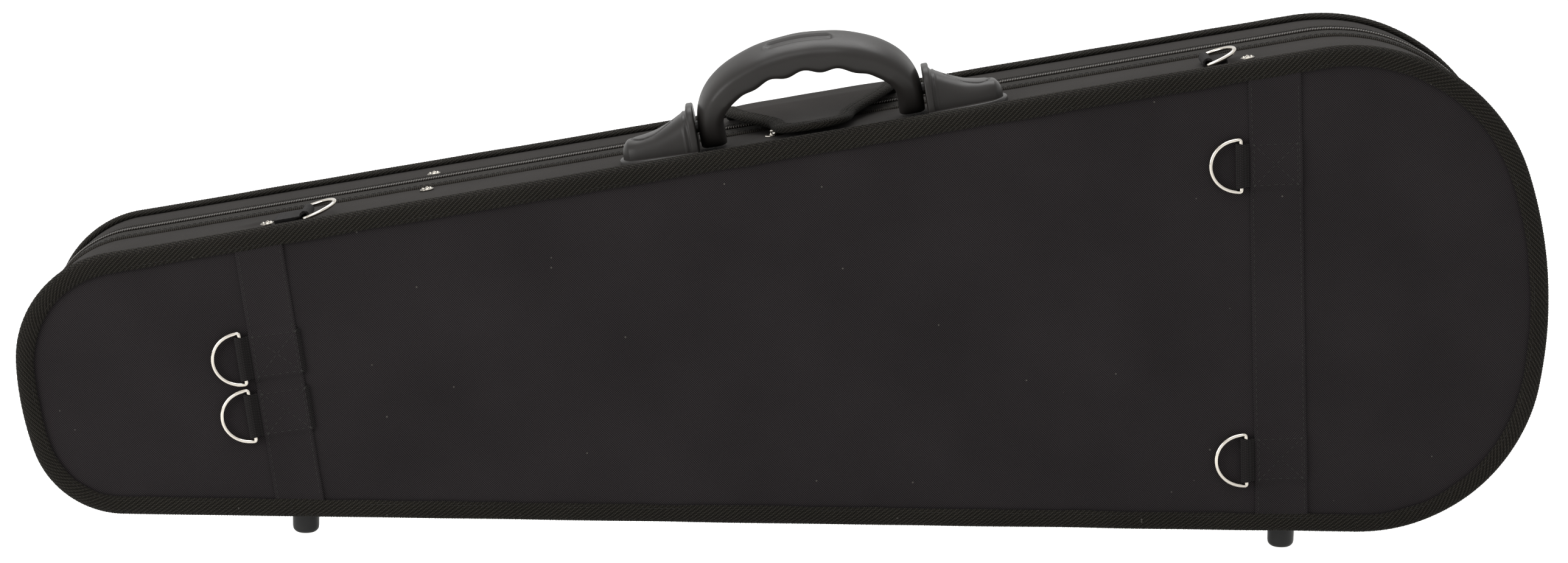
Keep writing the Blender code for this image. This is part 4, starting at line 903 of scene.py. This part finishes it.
def ringPiece(name, place):
    path = [Vector((0.0, y * ringLook["half"], 0.0)) for y in (-0.82, -0.4, 0.0, 0.4, 0.82)]
    for t in steps(24):
        a = math.pi / 2 - math.pi * t
        path.append(Vector((ringLook["reach"] * max(math.cos(a), 0.0) ** 0.92, ringLook["half"] * math.sin(a), 0.0)))
    path = chaikin(path, 2)
    rows, around = [], 16
    for i, point in enumerate(path):
        along = (path[(i + 1) % len(path)] - path[i - 1]).normalized()
        side = Vector((along.y, -along.x, 0.0))
        rows.append([place @ (point + (side * math.cos(a) + Vector((0, 0, 1)) * math.sin(a)) * ringLook["wire"])
                     for a in (math.tau * j / around for j in range(around))])
    made = sweep(name, rows, [0.0] * (len(rows) + 1), [0.0] * (around + 1), nickelPlate, loopAlong=True)
    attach(made, name.replace("Ring", "_ring_").replace("Narrow", "narrow").replace("Wide", "wide"))
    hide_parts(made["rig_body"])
    return made


def tabPiece(name, node, place, length, low, high, seed, sink=0.0, squeeze=0.0):
    # Webbing folded round the bar, with its edges a little rounded and the fold pulled in.
    outer = 0.00118 + 0.0003 + ringLook["webbing"]
    inner = 0.00118 + 0.0004
    start, end = math.asin(min(high / outer, 1.0)), math.asin(max(low / outer, -1.0))
    first, last = math.pi - start, -math.pi - end
    outside = [(-length * t, high) for t in reversed(steps(10)[2:])]
    outside += [(outer * math.cos(first + (last - first) * t), outer * math.sin(first + (last - first) * t)) for t in steps(24)]
    outside += [(-length * t, low) for t in steps(10)[2:]]
    gap = 0.00002
    middle = (high + low) / 2
    inside = [(-length * t, middle - gap) for t in reversed(steps(10)[2:])]
    inside += [(inner * math.cos(last + (first - last) * t), inner * math.sin(last + (first - last) * t)) for t in steps(24)]
    inside += [(-length * t, middle + gap) for t in steps(10)[2:]]
    section = outside + inside
    lengths = arcLengths([(a, b, 0) for a, b in section])
    rows, us = [], []
    half = ringLook["tabWidth"] / 2
    for t in (-1.0, -0.985, -0.95, -0.8, -0.6, -0.4, -0.2, 0.0, 0.2, 0.4, 0.6, 0.8, 0.95, 0.985, 1.0):
        pinch = 1.0 if abs(t) < 0.99 else 0.9
        row = []
        for x, z in section:
            pull = 1 - 0.05 * math.exp(-((x + 0.004) / 0.004) ** 2)
            lift = 0.00012 * noise.noise(Vector((x * 300, t * 2, seed)))
            under = smoothStep(-0.0008, -0.0046, x)
            thin = pinch * (1 - squeeze * under)
            row.append(place @ Vector((x, half * t * pull, middle + (z - middle) * thin + lift + sink * under)))
        rows.append(row)
        us.append(half * t)
    made = sweep(name, rows, us, lengths, webbingCloth, caps=True)
    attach(made, "base")
    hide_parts(node)
    return made


def stitchBox(place, low, high, half, front):
    corners = [(low, -half), (high, -half), (high, half), (low, half)]
    lines = []
    loop = corners + corners[:1]
    for a, b in list(zip(loop, loop[1:])) + [(corners[0], corners[2]), (corners[1], corners[3])]:
        line = [place @ Vector((a[0] + (b[0] - a[0]) * t, a[1] + (b[1] - a[1]) * t, 0)) for t in steps(12)]
        for p in line:
            p.y = front(p)
        lines.append(line)
    return lines


def bandAxes(name):
    _, spineX, lean, width, heights = next(b for b in bands if b[0] == name)
    along = Vector((-math.sin(lean), 0, math.cos(lean)))
    toNarrow = Vector((-math.cos(lean), 0, -math.sin(lean)))
    return Vector((spineX, 0, caseShape["footRise"])), along, toNarrow, width, heights


def bandFront(p, name):
    # The band lies on the panel and swells over the end of each tab.
    foot, along, toNarrow, width, heights = bandAxes(name)
    reach, side = (p - foot).dot(along), (p - foot).dot(toNarrow)
    y = bandY + ripple(p.x, 0, p.z, 0.02, 0.00012)
    y += 0.0006 * (1 - smoothStep(0.008, 0.013, edgeDistance(p.x, p.z)))
    for height in heights:
        gap = abs(reach - (height - caseShape["footRise"]) / along.z)
        swell = 1 - smoothStep(ringLook["tabWidth"] / 2 - 0.0006, ringLook["tabWidth"] / 2 + 0.0022, gap)
        y -= swell * (0.0009 + 0.0006 * smoothStep(0.0, width / 2, side))
    return y


bandY = caseShape["panelY"] + 0.0020 - 0.0003 - 0.0015
stitchLines = []
ringCount = 0
for name, spineX, lean, width, heights in bands:
    along = Vector((-math.sin(lean), 0, math.cos(lean)))
    toNarrow = Vector((-math.cos(lean), 0, -math.sin(lean)))
    foot = Vector((spineX, 0, caseShape["footRise"]))
    rows, us = [], []
    topReach = {"narrow": 0.1520, "wide": 0.2450}[name]
    for t in steps(170):
        reach = -0.004 + (topReach + 0.004) * t
        row = []
        for k in (-1, -0.97, -0.9, -0.6, -0.3, 0, 0.3, 0.6, 0.9, 0.97, 1):
            p = foot + along * reach + toNarrow * (k * width / 2)
            p.y = bandFront(p, name) + 0.0005 * smoothStep(0.97, 1.0, abs(k))
            row.append(p)
        rows.append(row + [Vector((p.x, p.y + 0.0008 if abs(p.y - bandY) > 0.0008 else bandY + 0.0014, p.z)) for p in reversed(row)])
        us.append(reach)
    # the ends are cut along the binding
    for row in rows:
        for i, p in enumerate(row):
            edge = edgeDistance(p.x, p.z)
            if edge < 0.0060:
                row[i] = p + along * (0.0060 - edge) * (1 if p.z < 0.06 else -1)
    vs = [width / 2 * k for k in (-1, -0.97, -0.9, -0.6, -0.3, 0, 0.3, 0.6, 0.9, 0.97, 1)]
    vs = vs + vs[::-1] + vs[:1]
    band = sweep("strapBand" + name.capitalize(), rows, us, vs, panelCloth, caps=True)
    rideSheet(band, "base", ["strap_band_" + name])
    for k in (-1, 1):
        line = [foot + along * r + toNarrow * (k * (width / 2 - 0.0016)) for r in (0.012 + (topReach - 0.024) * t for t in steps(60))]
        for p in line:
            p.y = bandFront(p, name)
        stitchLines.append(line)
    for height in heights:
        ringCount += 1
        reach = (height - caseShape["footRise"]) / along.z
        bar = foot + along * reach + toNarrow * (width / 2 + 0.0045)
        bar.y = bandY - 0.0003 - ringLook["webbing"]
        place = Matrix.Translation(bar) @ Matrix((toNarrow, along, toNarrow.cross(along))).transposed().to_4x4()
        ringPiece(f"panelRing{ringCount}", place)
        tabPiece(f"ringTab{ringCount}", f"ring_tab_{ringCount}", place, ringLook["tabLength"], -0.0013, 0.0013, ringCount,
                 sink=0.0021, squeeze=0.45)
        stitchLines += stitchBox(place, -0.0290, -0.0068, 0.0105, lambda p: bandFront(p, name))

for name, x, side, raised, rolled in wallRings:
    outer = 0.00118 + 0.0003 + ringLook["webbing"]
    place = topFrame(x, caseShape["panelY"] + 0.0285, outer + 0.0003)
    turn = Matrix.Identity(4) if side < 0 else Matrix.Rotation(math.pi, 4, "Z")
    length = 0.016 if side < 0 else 0.010
    tabPiece("wallTab" + name.capitalize(), "wall_tab_" + name, place @ turn, length, -outer, 0.0004, 7 + side)
    ringPiece("wallRing" + name.capitalize(), place @ Matrix.Rotation(rolled, 4, "X") @ Matrix.Rotation(-raised, 4, "Y"))
print("rings and bands made")

# ---- stitches on the binding, the bands and the tabs

stitchLook = {"pitch": 0.0032, "size": (0.0026, 0.00042, 0.00042)}
for side, faceY, inward in (("base", caseShape["panelY"], 1), ("lid", caseShape["lidY"], -1)):
    ring = [spotOn(e, 0.0074, faceY - inward * 0.00002) for e in coarse + coarse[:1]]
    tapeLine = [spotOn(e, skins["wallInset"] - 0.00115, caseShape["splitY"] - inward * skins["tapeWidth"][side] * 0.86)
                for e in coarse if e[0] <= zipEnd]
    lines = [ring, tapeLine] + (stitchLines if side == "base" else [])
    made = beads(side + "Stitches", lines, stitchLook["pitch"], stitchLook["size"], threadBlack)
    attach(made, side)
print("stitches made")

# ---- rivets, feet and studs


def turnedPiece(name, profile, place, material, sides=48, wavy=None, sharp=40):
    rows = []
    for r, z in profile:
        row = []
        for i in range(sides):
            a = math.tau * i / sides
            lift = wavy(r, a) if wavy else 0.0
            row.append(place @ Vector((r * math.cos(a), r * math.sin(a), z + lift)))
        rows.append(row)
    return sweep(name, rows, [0.0] * len(rows), [0.0] * (sides + 1), material, caps=True, sharp=sharp)


def lobed(r, a):
    # Four round lobes about a small middle dimple.
    reach = math.exp(-((r - 0.0020) / 0.0009) ** 2)
    return 0.00075 * reach * (0.5 + 0.5 * math.cos(4 * a)) ** 0.8 - 0.0004 * math.exp(-(r / 0.0008) ** 2)


rivetProfile = [(0.0036, 0.0001), (0.0037, 0.0004), (0.0036, 0.0007), (0.0034, 0.00085), (0.0031, 0.00085), (0.0028, 0.00085),
                (0.0025, 0.0009), (0.0022, 0.0010), (0.0019, 0.0010), (0.0016, 0.0010), (0.0013, 0.0009), (0.0010, 0.0009),
                (0.0007, 0.0009), (0.0004, 0.0009), (0.0001, 0.0009)]
rivets = [("tab_rivet_narrow", -0.268, 0.0285, "base"), ("tab_rivet_wide", 0.2385, 0.0285, "base"),
          ("stay_rivet_base", -0.187, 0.053, "base"), ("stay_rivet_lid", -0.187, 0.103, "lid")]
for node, x, depth, body in rivets:
    place = topFrame(x, caseShape["panelY"] + depth, 0.0003)
    word = node.split("_")
    made = turnedPiece(word[0] + "Rivet" + word[2].capitalize(), rivetProfile, place, rivetNickel, wavy=lobed, sharp=None)
    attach(made, body)
    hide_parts(node)

footProfile = [(0.0085, 0.0003), (0.0086, 0.0016), (0.0082, 0.0022), (0.0074, 0.0028), (0.0070, 0.0034), (0.0069, 0.0120),
               (0.0067, 0.0134), (0.0062, 0.0143), (0.0055, 0.0150), (0.0047, 0.01545), (0.0040, 0.01555), (0.0036, 0.0155),
               (0.0033, 0.0150), (0.0001, 0.0150)]
for side, y in (("base", caseShape["panelY"] + 0.022), ("lid", caseShape["lidY"] - 0.022)):
    for end, x in (("narrow", -0.248), ("wide", 0.264)):
        place = Matrix.Translation((x, y, caseShape["footRise"] + 0.0025)) @ Matrix.Rotation(math.pi, 4, "X")
        made = turnedPiece(f"{side}Foot{end.capitalize()}", footProfile, place, footPlastic)
        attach(made, side)
        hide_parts(f"{side}_foot_{end}")

studProfile = [(0.0055, 0.0003), (0.0056, 0.0007), (0.0052, 0.0011), (0.0040, 0.0012), (0.0032, 0.0010), (0.0027, 0.0014),
               (0.0025, 0.0024), (0.0026, 0.0030), (0.0022, 0.0034), (0.0010, 0.0036), (0.0001, 0.0036)]
made = turnedPiece("snapStud", studProfile, topFrame(-0.0047, caseShape["panelY"] + 0.040), nickelPlate)
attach(made, "base")
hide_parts("snap_stud")
print("fastenings made")

# ---- closure flap

flap = {"half": 0.0455, "hingeDepth": 0.116, "tipDepth": 0.017, "thick": 0.0016, "rise": 0.0080, "slider": 0.009,
        "shoulder": 0.28, "tipStart": 0.80, "taper": 0.55, "bindWidth": 0.0075, "bindThick": 0.0040}


def flapPoint(run, share, lift=0.0):
    hingeY, tipY = caseShape["panelY"] + flap["hingeDepth"], caseShape["panelY"] + flap["tipDepth"]
    reach = hingeY - tipY
    overZip = hingeY - caseShape["splitY"] - flap["slider"]
    archEnd = hingeY - caseShape["splitY"] + flap["slider"]
    rise = math.sin(min(run / overZip, 1.0) * math.pi / 2)
    fall = 0.0 if run < archEnd else (run - archEnd) / (reach - archEnd)
    height = flap["rise"] * rise - 0.0035 * math.sin(fall * math.pi * 0.75)
    u = run / reach
    end = max(0.0, u - flap["tipStart"]) / (1 - flap["tipStart"])
    half = flap["half"] * (1 - flap["taper"] * smoothStep(flap["shoulder"], flap["tipStart"], u))
    half *= math.sqrt(max(1 - (end * 0.985) ** 2.2, 0.0))
    droop = 0.0016 * fall
    return Vector((half * share, -run, height + flap["thick"] - droop * share ** 2 + lift))


flapPlace = topFrame(0.0153, caseShape["panelY"] + flap["hingeDepth"], 0.0003)
flapReach = flap["hingeDepth"] - flap["tipDepth"]


def flapRuns(count):
    return [flapReach * (1 - (1 - t) ** 1.6) for t in steps(count)]


def flapPiece():
    rows, us = [], []
    shares = [-1, -0.97, -0.9, -0.8] + [k / 10 for k in range(-7, 8)] + [0.8, 0.9, 0.97, 1]
    for run in flapRuns(60):
        top = []
        for share in shares:
            pad = 0.0008 * (1 - abs(share) ** 6) * smoothStep(0.0, 0.012, run) * smoothStep(0.0, 0.010, flapReach - run)
            top.append(flapPoint(run, share, pad + ripple(run, share * 0.04, 0, 0.02, 0.0003) * (1 - share ** 2)))
        under = [flapPoint(run, share, -flap["thick"]) for share in reversed(shares)]
        rows.append([flapPlace @ p for p in top + under])
        us.append(run)
    width = [flap["half"] * k for k in shares]
    made = sweep("closureFlap", rows, us, width + width[::-1] + width[:1], wallCloth, caps=True)
    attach(made, "closure_flap")
    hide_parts("closure_flap")
    return made


def flapBinding():
    # A folded tape round the free edge, from the sewn end round the tip and back.
    path = [flapPoint(run, 1) for run in flapRuns(70)] + [flapPoint(run, -1) for run in reversed(flapRuns(70)[:-1])]
    inside = [flapPoint(max(run - 0.012, 0.0), 0.62) for run in flapRuns(70)]
    inside += [flapPoint(max(run - 0.012, 0.0), -0.62) for run in reversed(flapRuns(70)[:-1])]
    path = [p - Vector((0, 0, flap["thick"] / 2)) for p in path]
    fine, aims = [], []
    for i in range(len(path) - 1):
        count = max(1, round((path[i + 1] - path[i]).length / 0.0009))
        for k in range(count):
            fine.append(path[i].lerp(path[i + 1], k / count))
            aims.append(inside[i].lerp(inside[i + 1], k / count))
    smoothed = []
    for i in range(len(fine)):
        near = fine[max(0, i - 6):i + 7]
        smoothed.append(sum(near, Vector()) / len(near))
    rows, us, gone = [], [], 0.0
    angles = [math.radians(28 + 304 * t) for t in steps(26)]
    across = [0.019 * t for t in steps(26)]
    vs = across + across[::-1] + across[:1]
    for i, p in enumerate(smoothed):
        if i:
            gone += (p - smoothed[i - 1]).length
        q = smoothed[min(i + 1, len(smoothed) - 1)]
        o = smoothed[max(i - 1, 0)]
        along = (q - o).normalized()
        inward = aims[i] - p
        inward = (inward - along * inward.dot(along)).normalized()
        up = along.cross(inward).normalized()
        if up.z < 0:
            up = -up
        row = []
        for layer, turns in ((0.0, angles), (0.0007, angles[::-1])):
            for a in turns:
                v = 0.019 * (a - angles[0]) / (angles[-1] - angles[0])
                rib = 0.0 if layer else math.cos(math.tau * (gone + abs(v - 0.0095) * skins["ribSlope"]) / skins["ribPitch"])
                rib *= 0.00028
                x = signedPower(math.cos(a), 0.6) * (flap["bindWidth"] / 2 - layer) + flap["bindWidth"] * 0.36
                z = signedPower(math.sin(a), 0.75) * (flap["bindThick"] / 2 + rib - layer)
                row.append(flapPlace @ (p + inward * x + up * z))
        rows.append(row)
        us.append(gone)
    made = sweep("closureFlapBinding", rows, us, vs, bindingTape, caps=True)
    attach(made, "closure_flap")
    return made


flapPiece()
flapBinding()
print("flap made")

# ---- inside: padded plush over the fitted shapes


def plushPiece(node, name, body, voxel, rounds, material=None):
    source = frame["nodes"][node]
    built = bmesh.new()
    built.from_mesh(source.data)
    bmesh.ops.remove_doubles(built, verts=built.verts, dist=1e-6)
    mesh = bpy.data.meshes.new(name)
    built.to_mesh(mesh)
    built.free()
    made = bpy.data.objects.new(name, mesh)
    bpy.context.scene.collection.objects.link(made)
    step = made.modifiers.new("even", "REMESH")
    step.mode, step.voxel_size, step.adaptivity = "VOXEL", voxel, 0.0
    soften = made.modifiers.new("soften", "SMOOTH")
    soften.factor, soften.iterations = 0.5, rounds
    result = made.evaluated_get(bpy.context.evaluated_depsgraph_get())
    plain = bpy.data.meshes.new_from_object(result)
    made.modifiers.clear()
    made.data = plain
    plain.materials.clear()
    plain.materials.append(material or greyPlush)
    plain.shade_smooth()
    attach(made, body)
    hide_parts(node)
    return made


plushPiece("violin_bed", "violinBed", "base", 0.0022, 6)
plushPiece("neck_rest", "neckRest", "base", 0.0012, 6)
plushPiece("neck_strap", "neckStrap", "base", 0.0005, 3, material=greyPlush)
plushPiece("accessory_box", "accessoryBox", "base", 0.0011, 3)
plushPiece("accessory_lid", "accessoryLid", "accessory_lid", 0.0009, 4)
plushPiece("lid_lining", "lidLining", "lid", 0.0013, 4)


def stayPiece():
    # The ribbon hangs in a loop between the trays.
    x, drop = -0.187, 0.060
    ceiling = topHeight(x, 0.0113) - 0.004
    start, end = caseShape["panelY"] + 0.053, caseShape["panelY"] + 0.103
    middle, reach = (start + end) / 2, (end - start) / 2
    line = [(start, ceiling - (drop / 2) * t) for t in steps(10)]
    bottom = ceiling - drop + reach
    line += [(start, ceiling - drop / 2 + (bottom - ceiling + drop / 2) * t) for t in steps(4)[1:-1]]
    line += [(middle - reach * math.cos(math.pi * t), bottom - reach * math.sin(math.pi * t)) for t in steps(24)]
    line += [(end, ceiling - drop / 2 + (bottom - ceiling + drop / 2) * (1 - t)) for t in steps(4)[1:-1]]
    line += [(end, ceiling - (drop / 2) * (1 - t)) for t in steps(10)]
    rows, us, gone = [], [], 0.0
    for i, (y, z) in enumerate(line):
        if i:
            gone += math.hypot(y - line[i - 1][0], z - line[i - 1][1])
        before, after = line[max(i - 1, 0)], line[min(i + 1, len(line) - 1)]
        flow = Vector((after[0] - before[0], after[1] - before[1])).normalized()
        side = Vector((-flow.y, flow.x)) * 0.0004
        ks = (-1, -0.5, 0, 0.5, 1)
        outer = [Vector((x + 0.006 * k, y + side.x, z + side.y)) for k in ks]
        inner = [Vector((x + 0.006 * k, y - side.x, z - side.y)) for k in reversed(ks)]
        rows.append(outer + inner)
        us.append(gone)
    vs = [0.0, 0.003, 0.006, 0.009, 0.012, 0.012, 0.009, 0.006, 0.003, 0.0, 0.0]
    made = sweep("lidStay", rows, us, vs, webbingCloth, caps=True)
    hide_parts("lid_stay")
    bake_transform(made)


stayPiece()
print("inside made")

# ---- CAD parts that show as they are

carried = {
    "base_shell": pressedBoard, "lid_shell": pressedBoard, "bow_spinner_lower": handlePlastic, "bow_spinner_upper": handlePlastic,
    "zip_slider_narrow": nickelPlate, "zip_slider_wide": nickelPlate, "zip_pull_narrow": nickelPlate, "zip_pull_wide": nickelPlate,
    "hinge_leaf_base_narrow": hingeSteel, "hinge_leaf_base_wide": hingeSteel, "hinge_leaf_lid_narrow": hingeSteel,
    "hinge_leaf_lid_wide": hingeSteel, "hinge_pin_narrow": hingeSteel, "hinge_pin_wide": hingeSteel,
}
for node, material in carried.items():
    part = frame["nodes"][node]
    for place in part.material_slots:
        place.material = material
    if not part.material_slots:
        part.data.materials.append(material)

# ---- floor, light and camera

studio = {"floor": (0.90, 0.90, 0.89), "floorReach": 14.0, "floorHeight": -0.080, "sky": (1.0, 0.995, 0.985), "skyStrength": 0.95}


def studioScene():
    floorMaterial = bpy.data.materials.new("studioFloor")
    floorMaterial.use_nodes = True
    shader = floorMaterial.node_tree.nodes["Principled BSDF"]
    shader.inputs["Base Color"].default_value = (*studio["floor"], 1)
    shader.inputs["Roughness"].default_value = 0.9
    shader.inputs["Specular IOR Level"].default_value = 0.1
    reach = studio["floorReach"]  # the floor lies below the opened lid, which swings past the feet
    verts = [(x, y, studio["floorHeight"]) for x, y in ((-reach, -reach), (reach, -reach), (reach, reach), (-reach, reach))]
    floor = addMesh("studioFloor", verts, [(0, 1, 2, 3)], None, floorMaterial, outward=False)
    world = bpy.data.worlds.new("studioSky")
    world.use_nodes = True
    back = world.node_tree.nodes["Background"]
    back.inputs[0].default_value = (*studio["sky"], 1)
    back.inputs[1].default_value = studio["skyStrength"]
    bpy.context.scene.world = world
    bpy.context.scene.view_settings.view_transform = "Standard"
    lamps = (  # name, place, aimed at, size, watts
        ("topSoftbox", (-0.3, -0.9, 1.7), (0, 0, 0.15), 1.0, 9.0),
        ("leftSoftbox", (-2.0, -1.3, 0.8), (-0.1, 0, 0.12), 1.2, 24.0),
        ("farFloorLight", (0.0, 1.6, 2.6), (0, 2.2, 0.0), 2.4, 70.0),
    )
    for name, place, aim, size, watts in lamps:
        data = bpy.data.lights.new(name, "AREA")
        data.shape, data.size, data.energy = "SQUARE", size, watts
        lamp = bpy.data.objects.new(name, data)
        bpy.context.scene.collection.objects.link(lamp)
        lamp.location = place
        lamp.rotation_mode = "QUATERNION"
        lamp.rotation_quaternion = (Vector(aim) - Vector(place)).to_track_quat("-Z", "Y")


def placeCamera():
    yaw, pitch, roll = math.radians(0.367), math.radians(10.84), math.radians(0.93)
    ahead = Vector((math.sin(yaw) * math.cos(pitch), math.cos(yaw) * math.cos(pitch), -math.sin(pitch)))
    right = ahead.cross(Vector((0, 0, 1))).normalized()
    up = right.cross(ahead)
    turnedRight = math.cos(roll) * right + math.sin(roll) * up
    turnedUp = math.cos(roll) * up - math.sin(roll) * right
    data = bpy.data.cameras.new("studioCamera")
    data.lens, data.sensor_width = 36 * 7200 / 2576, 36
    data.clip_start, data.clip_end = 0.1, 50
    camera = bpy.data.objects.new("studioCamera", data)
    bpy.context.scene.collection.objects.link(camera)
    turn = Matrix((turnedRight, turnedUp, -ahead)).transposed().to_4x4()
    camera.matrix_world = Matrix.Translation((-0.0135, -2.2831, 0.5657)) @ turn
    bpy.context.scene.camera = camera


studioScene()
placeCamera()
print("studio ready")
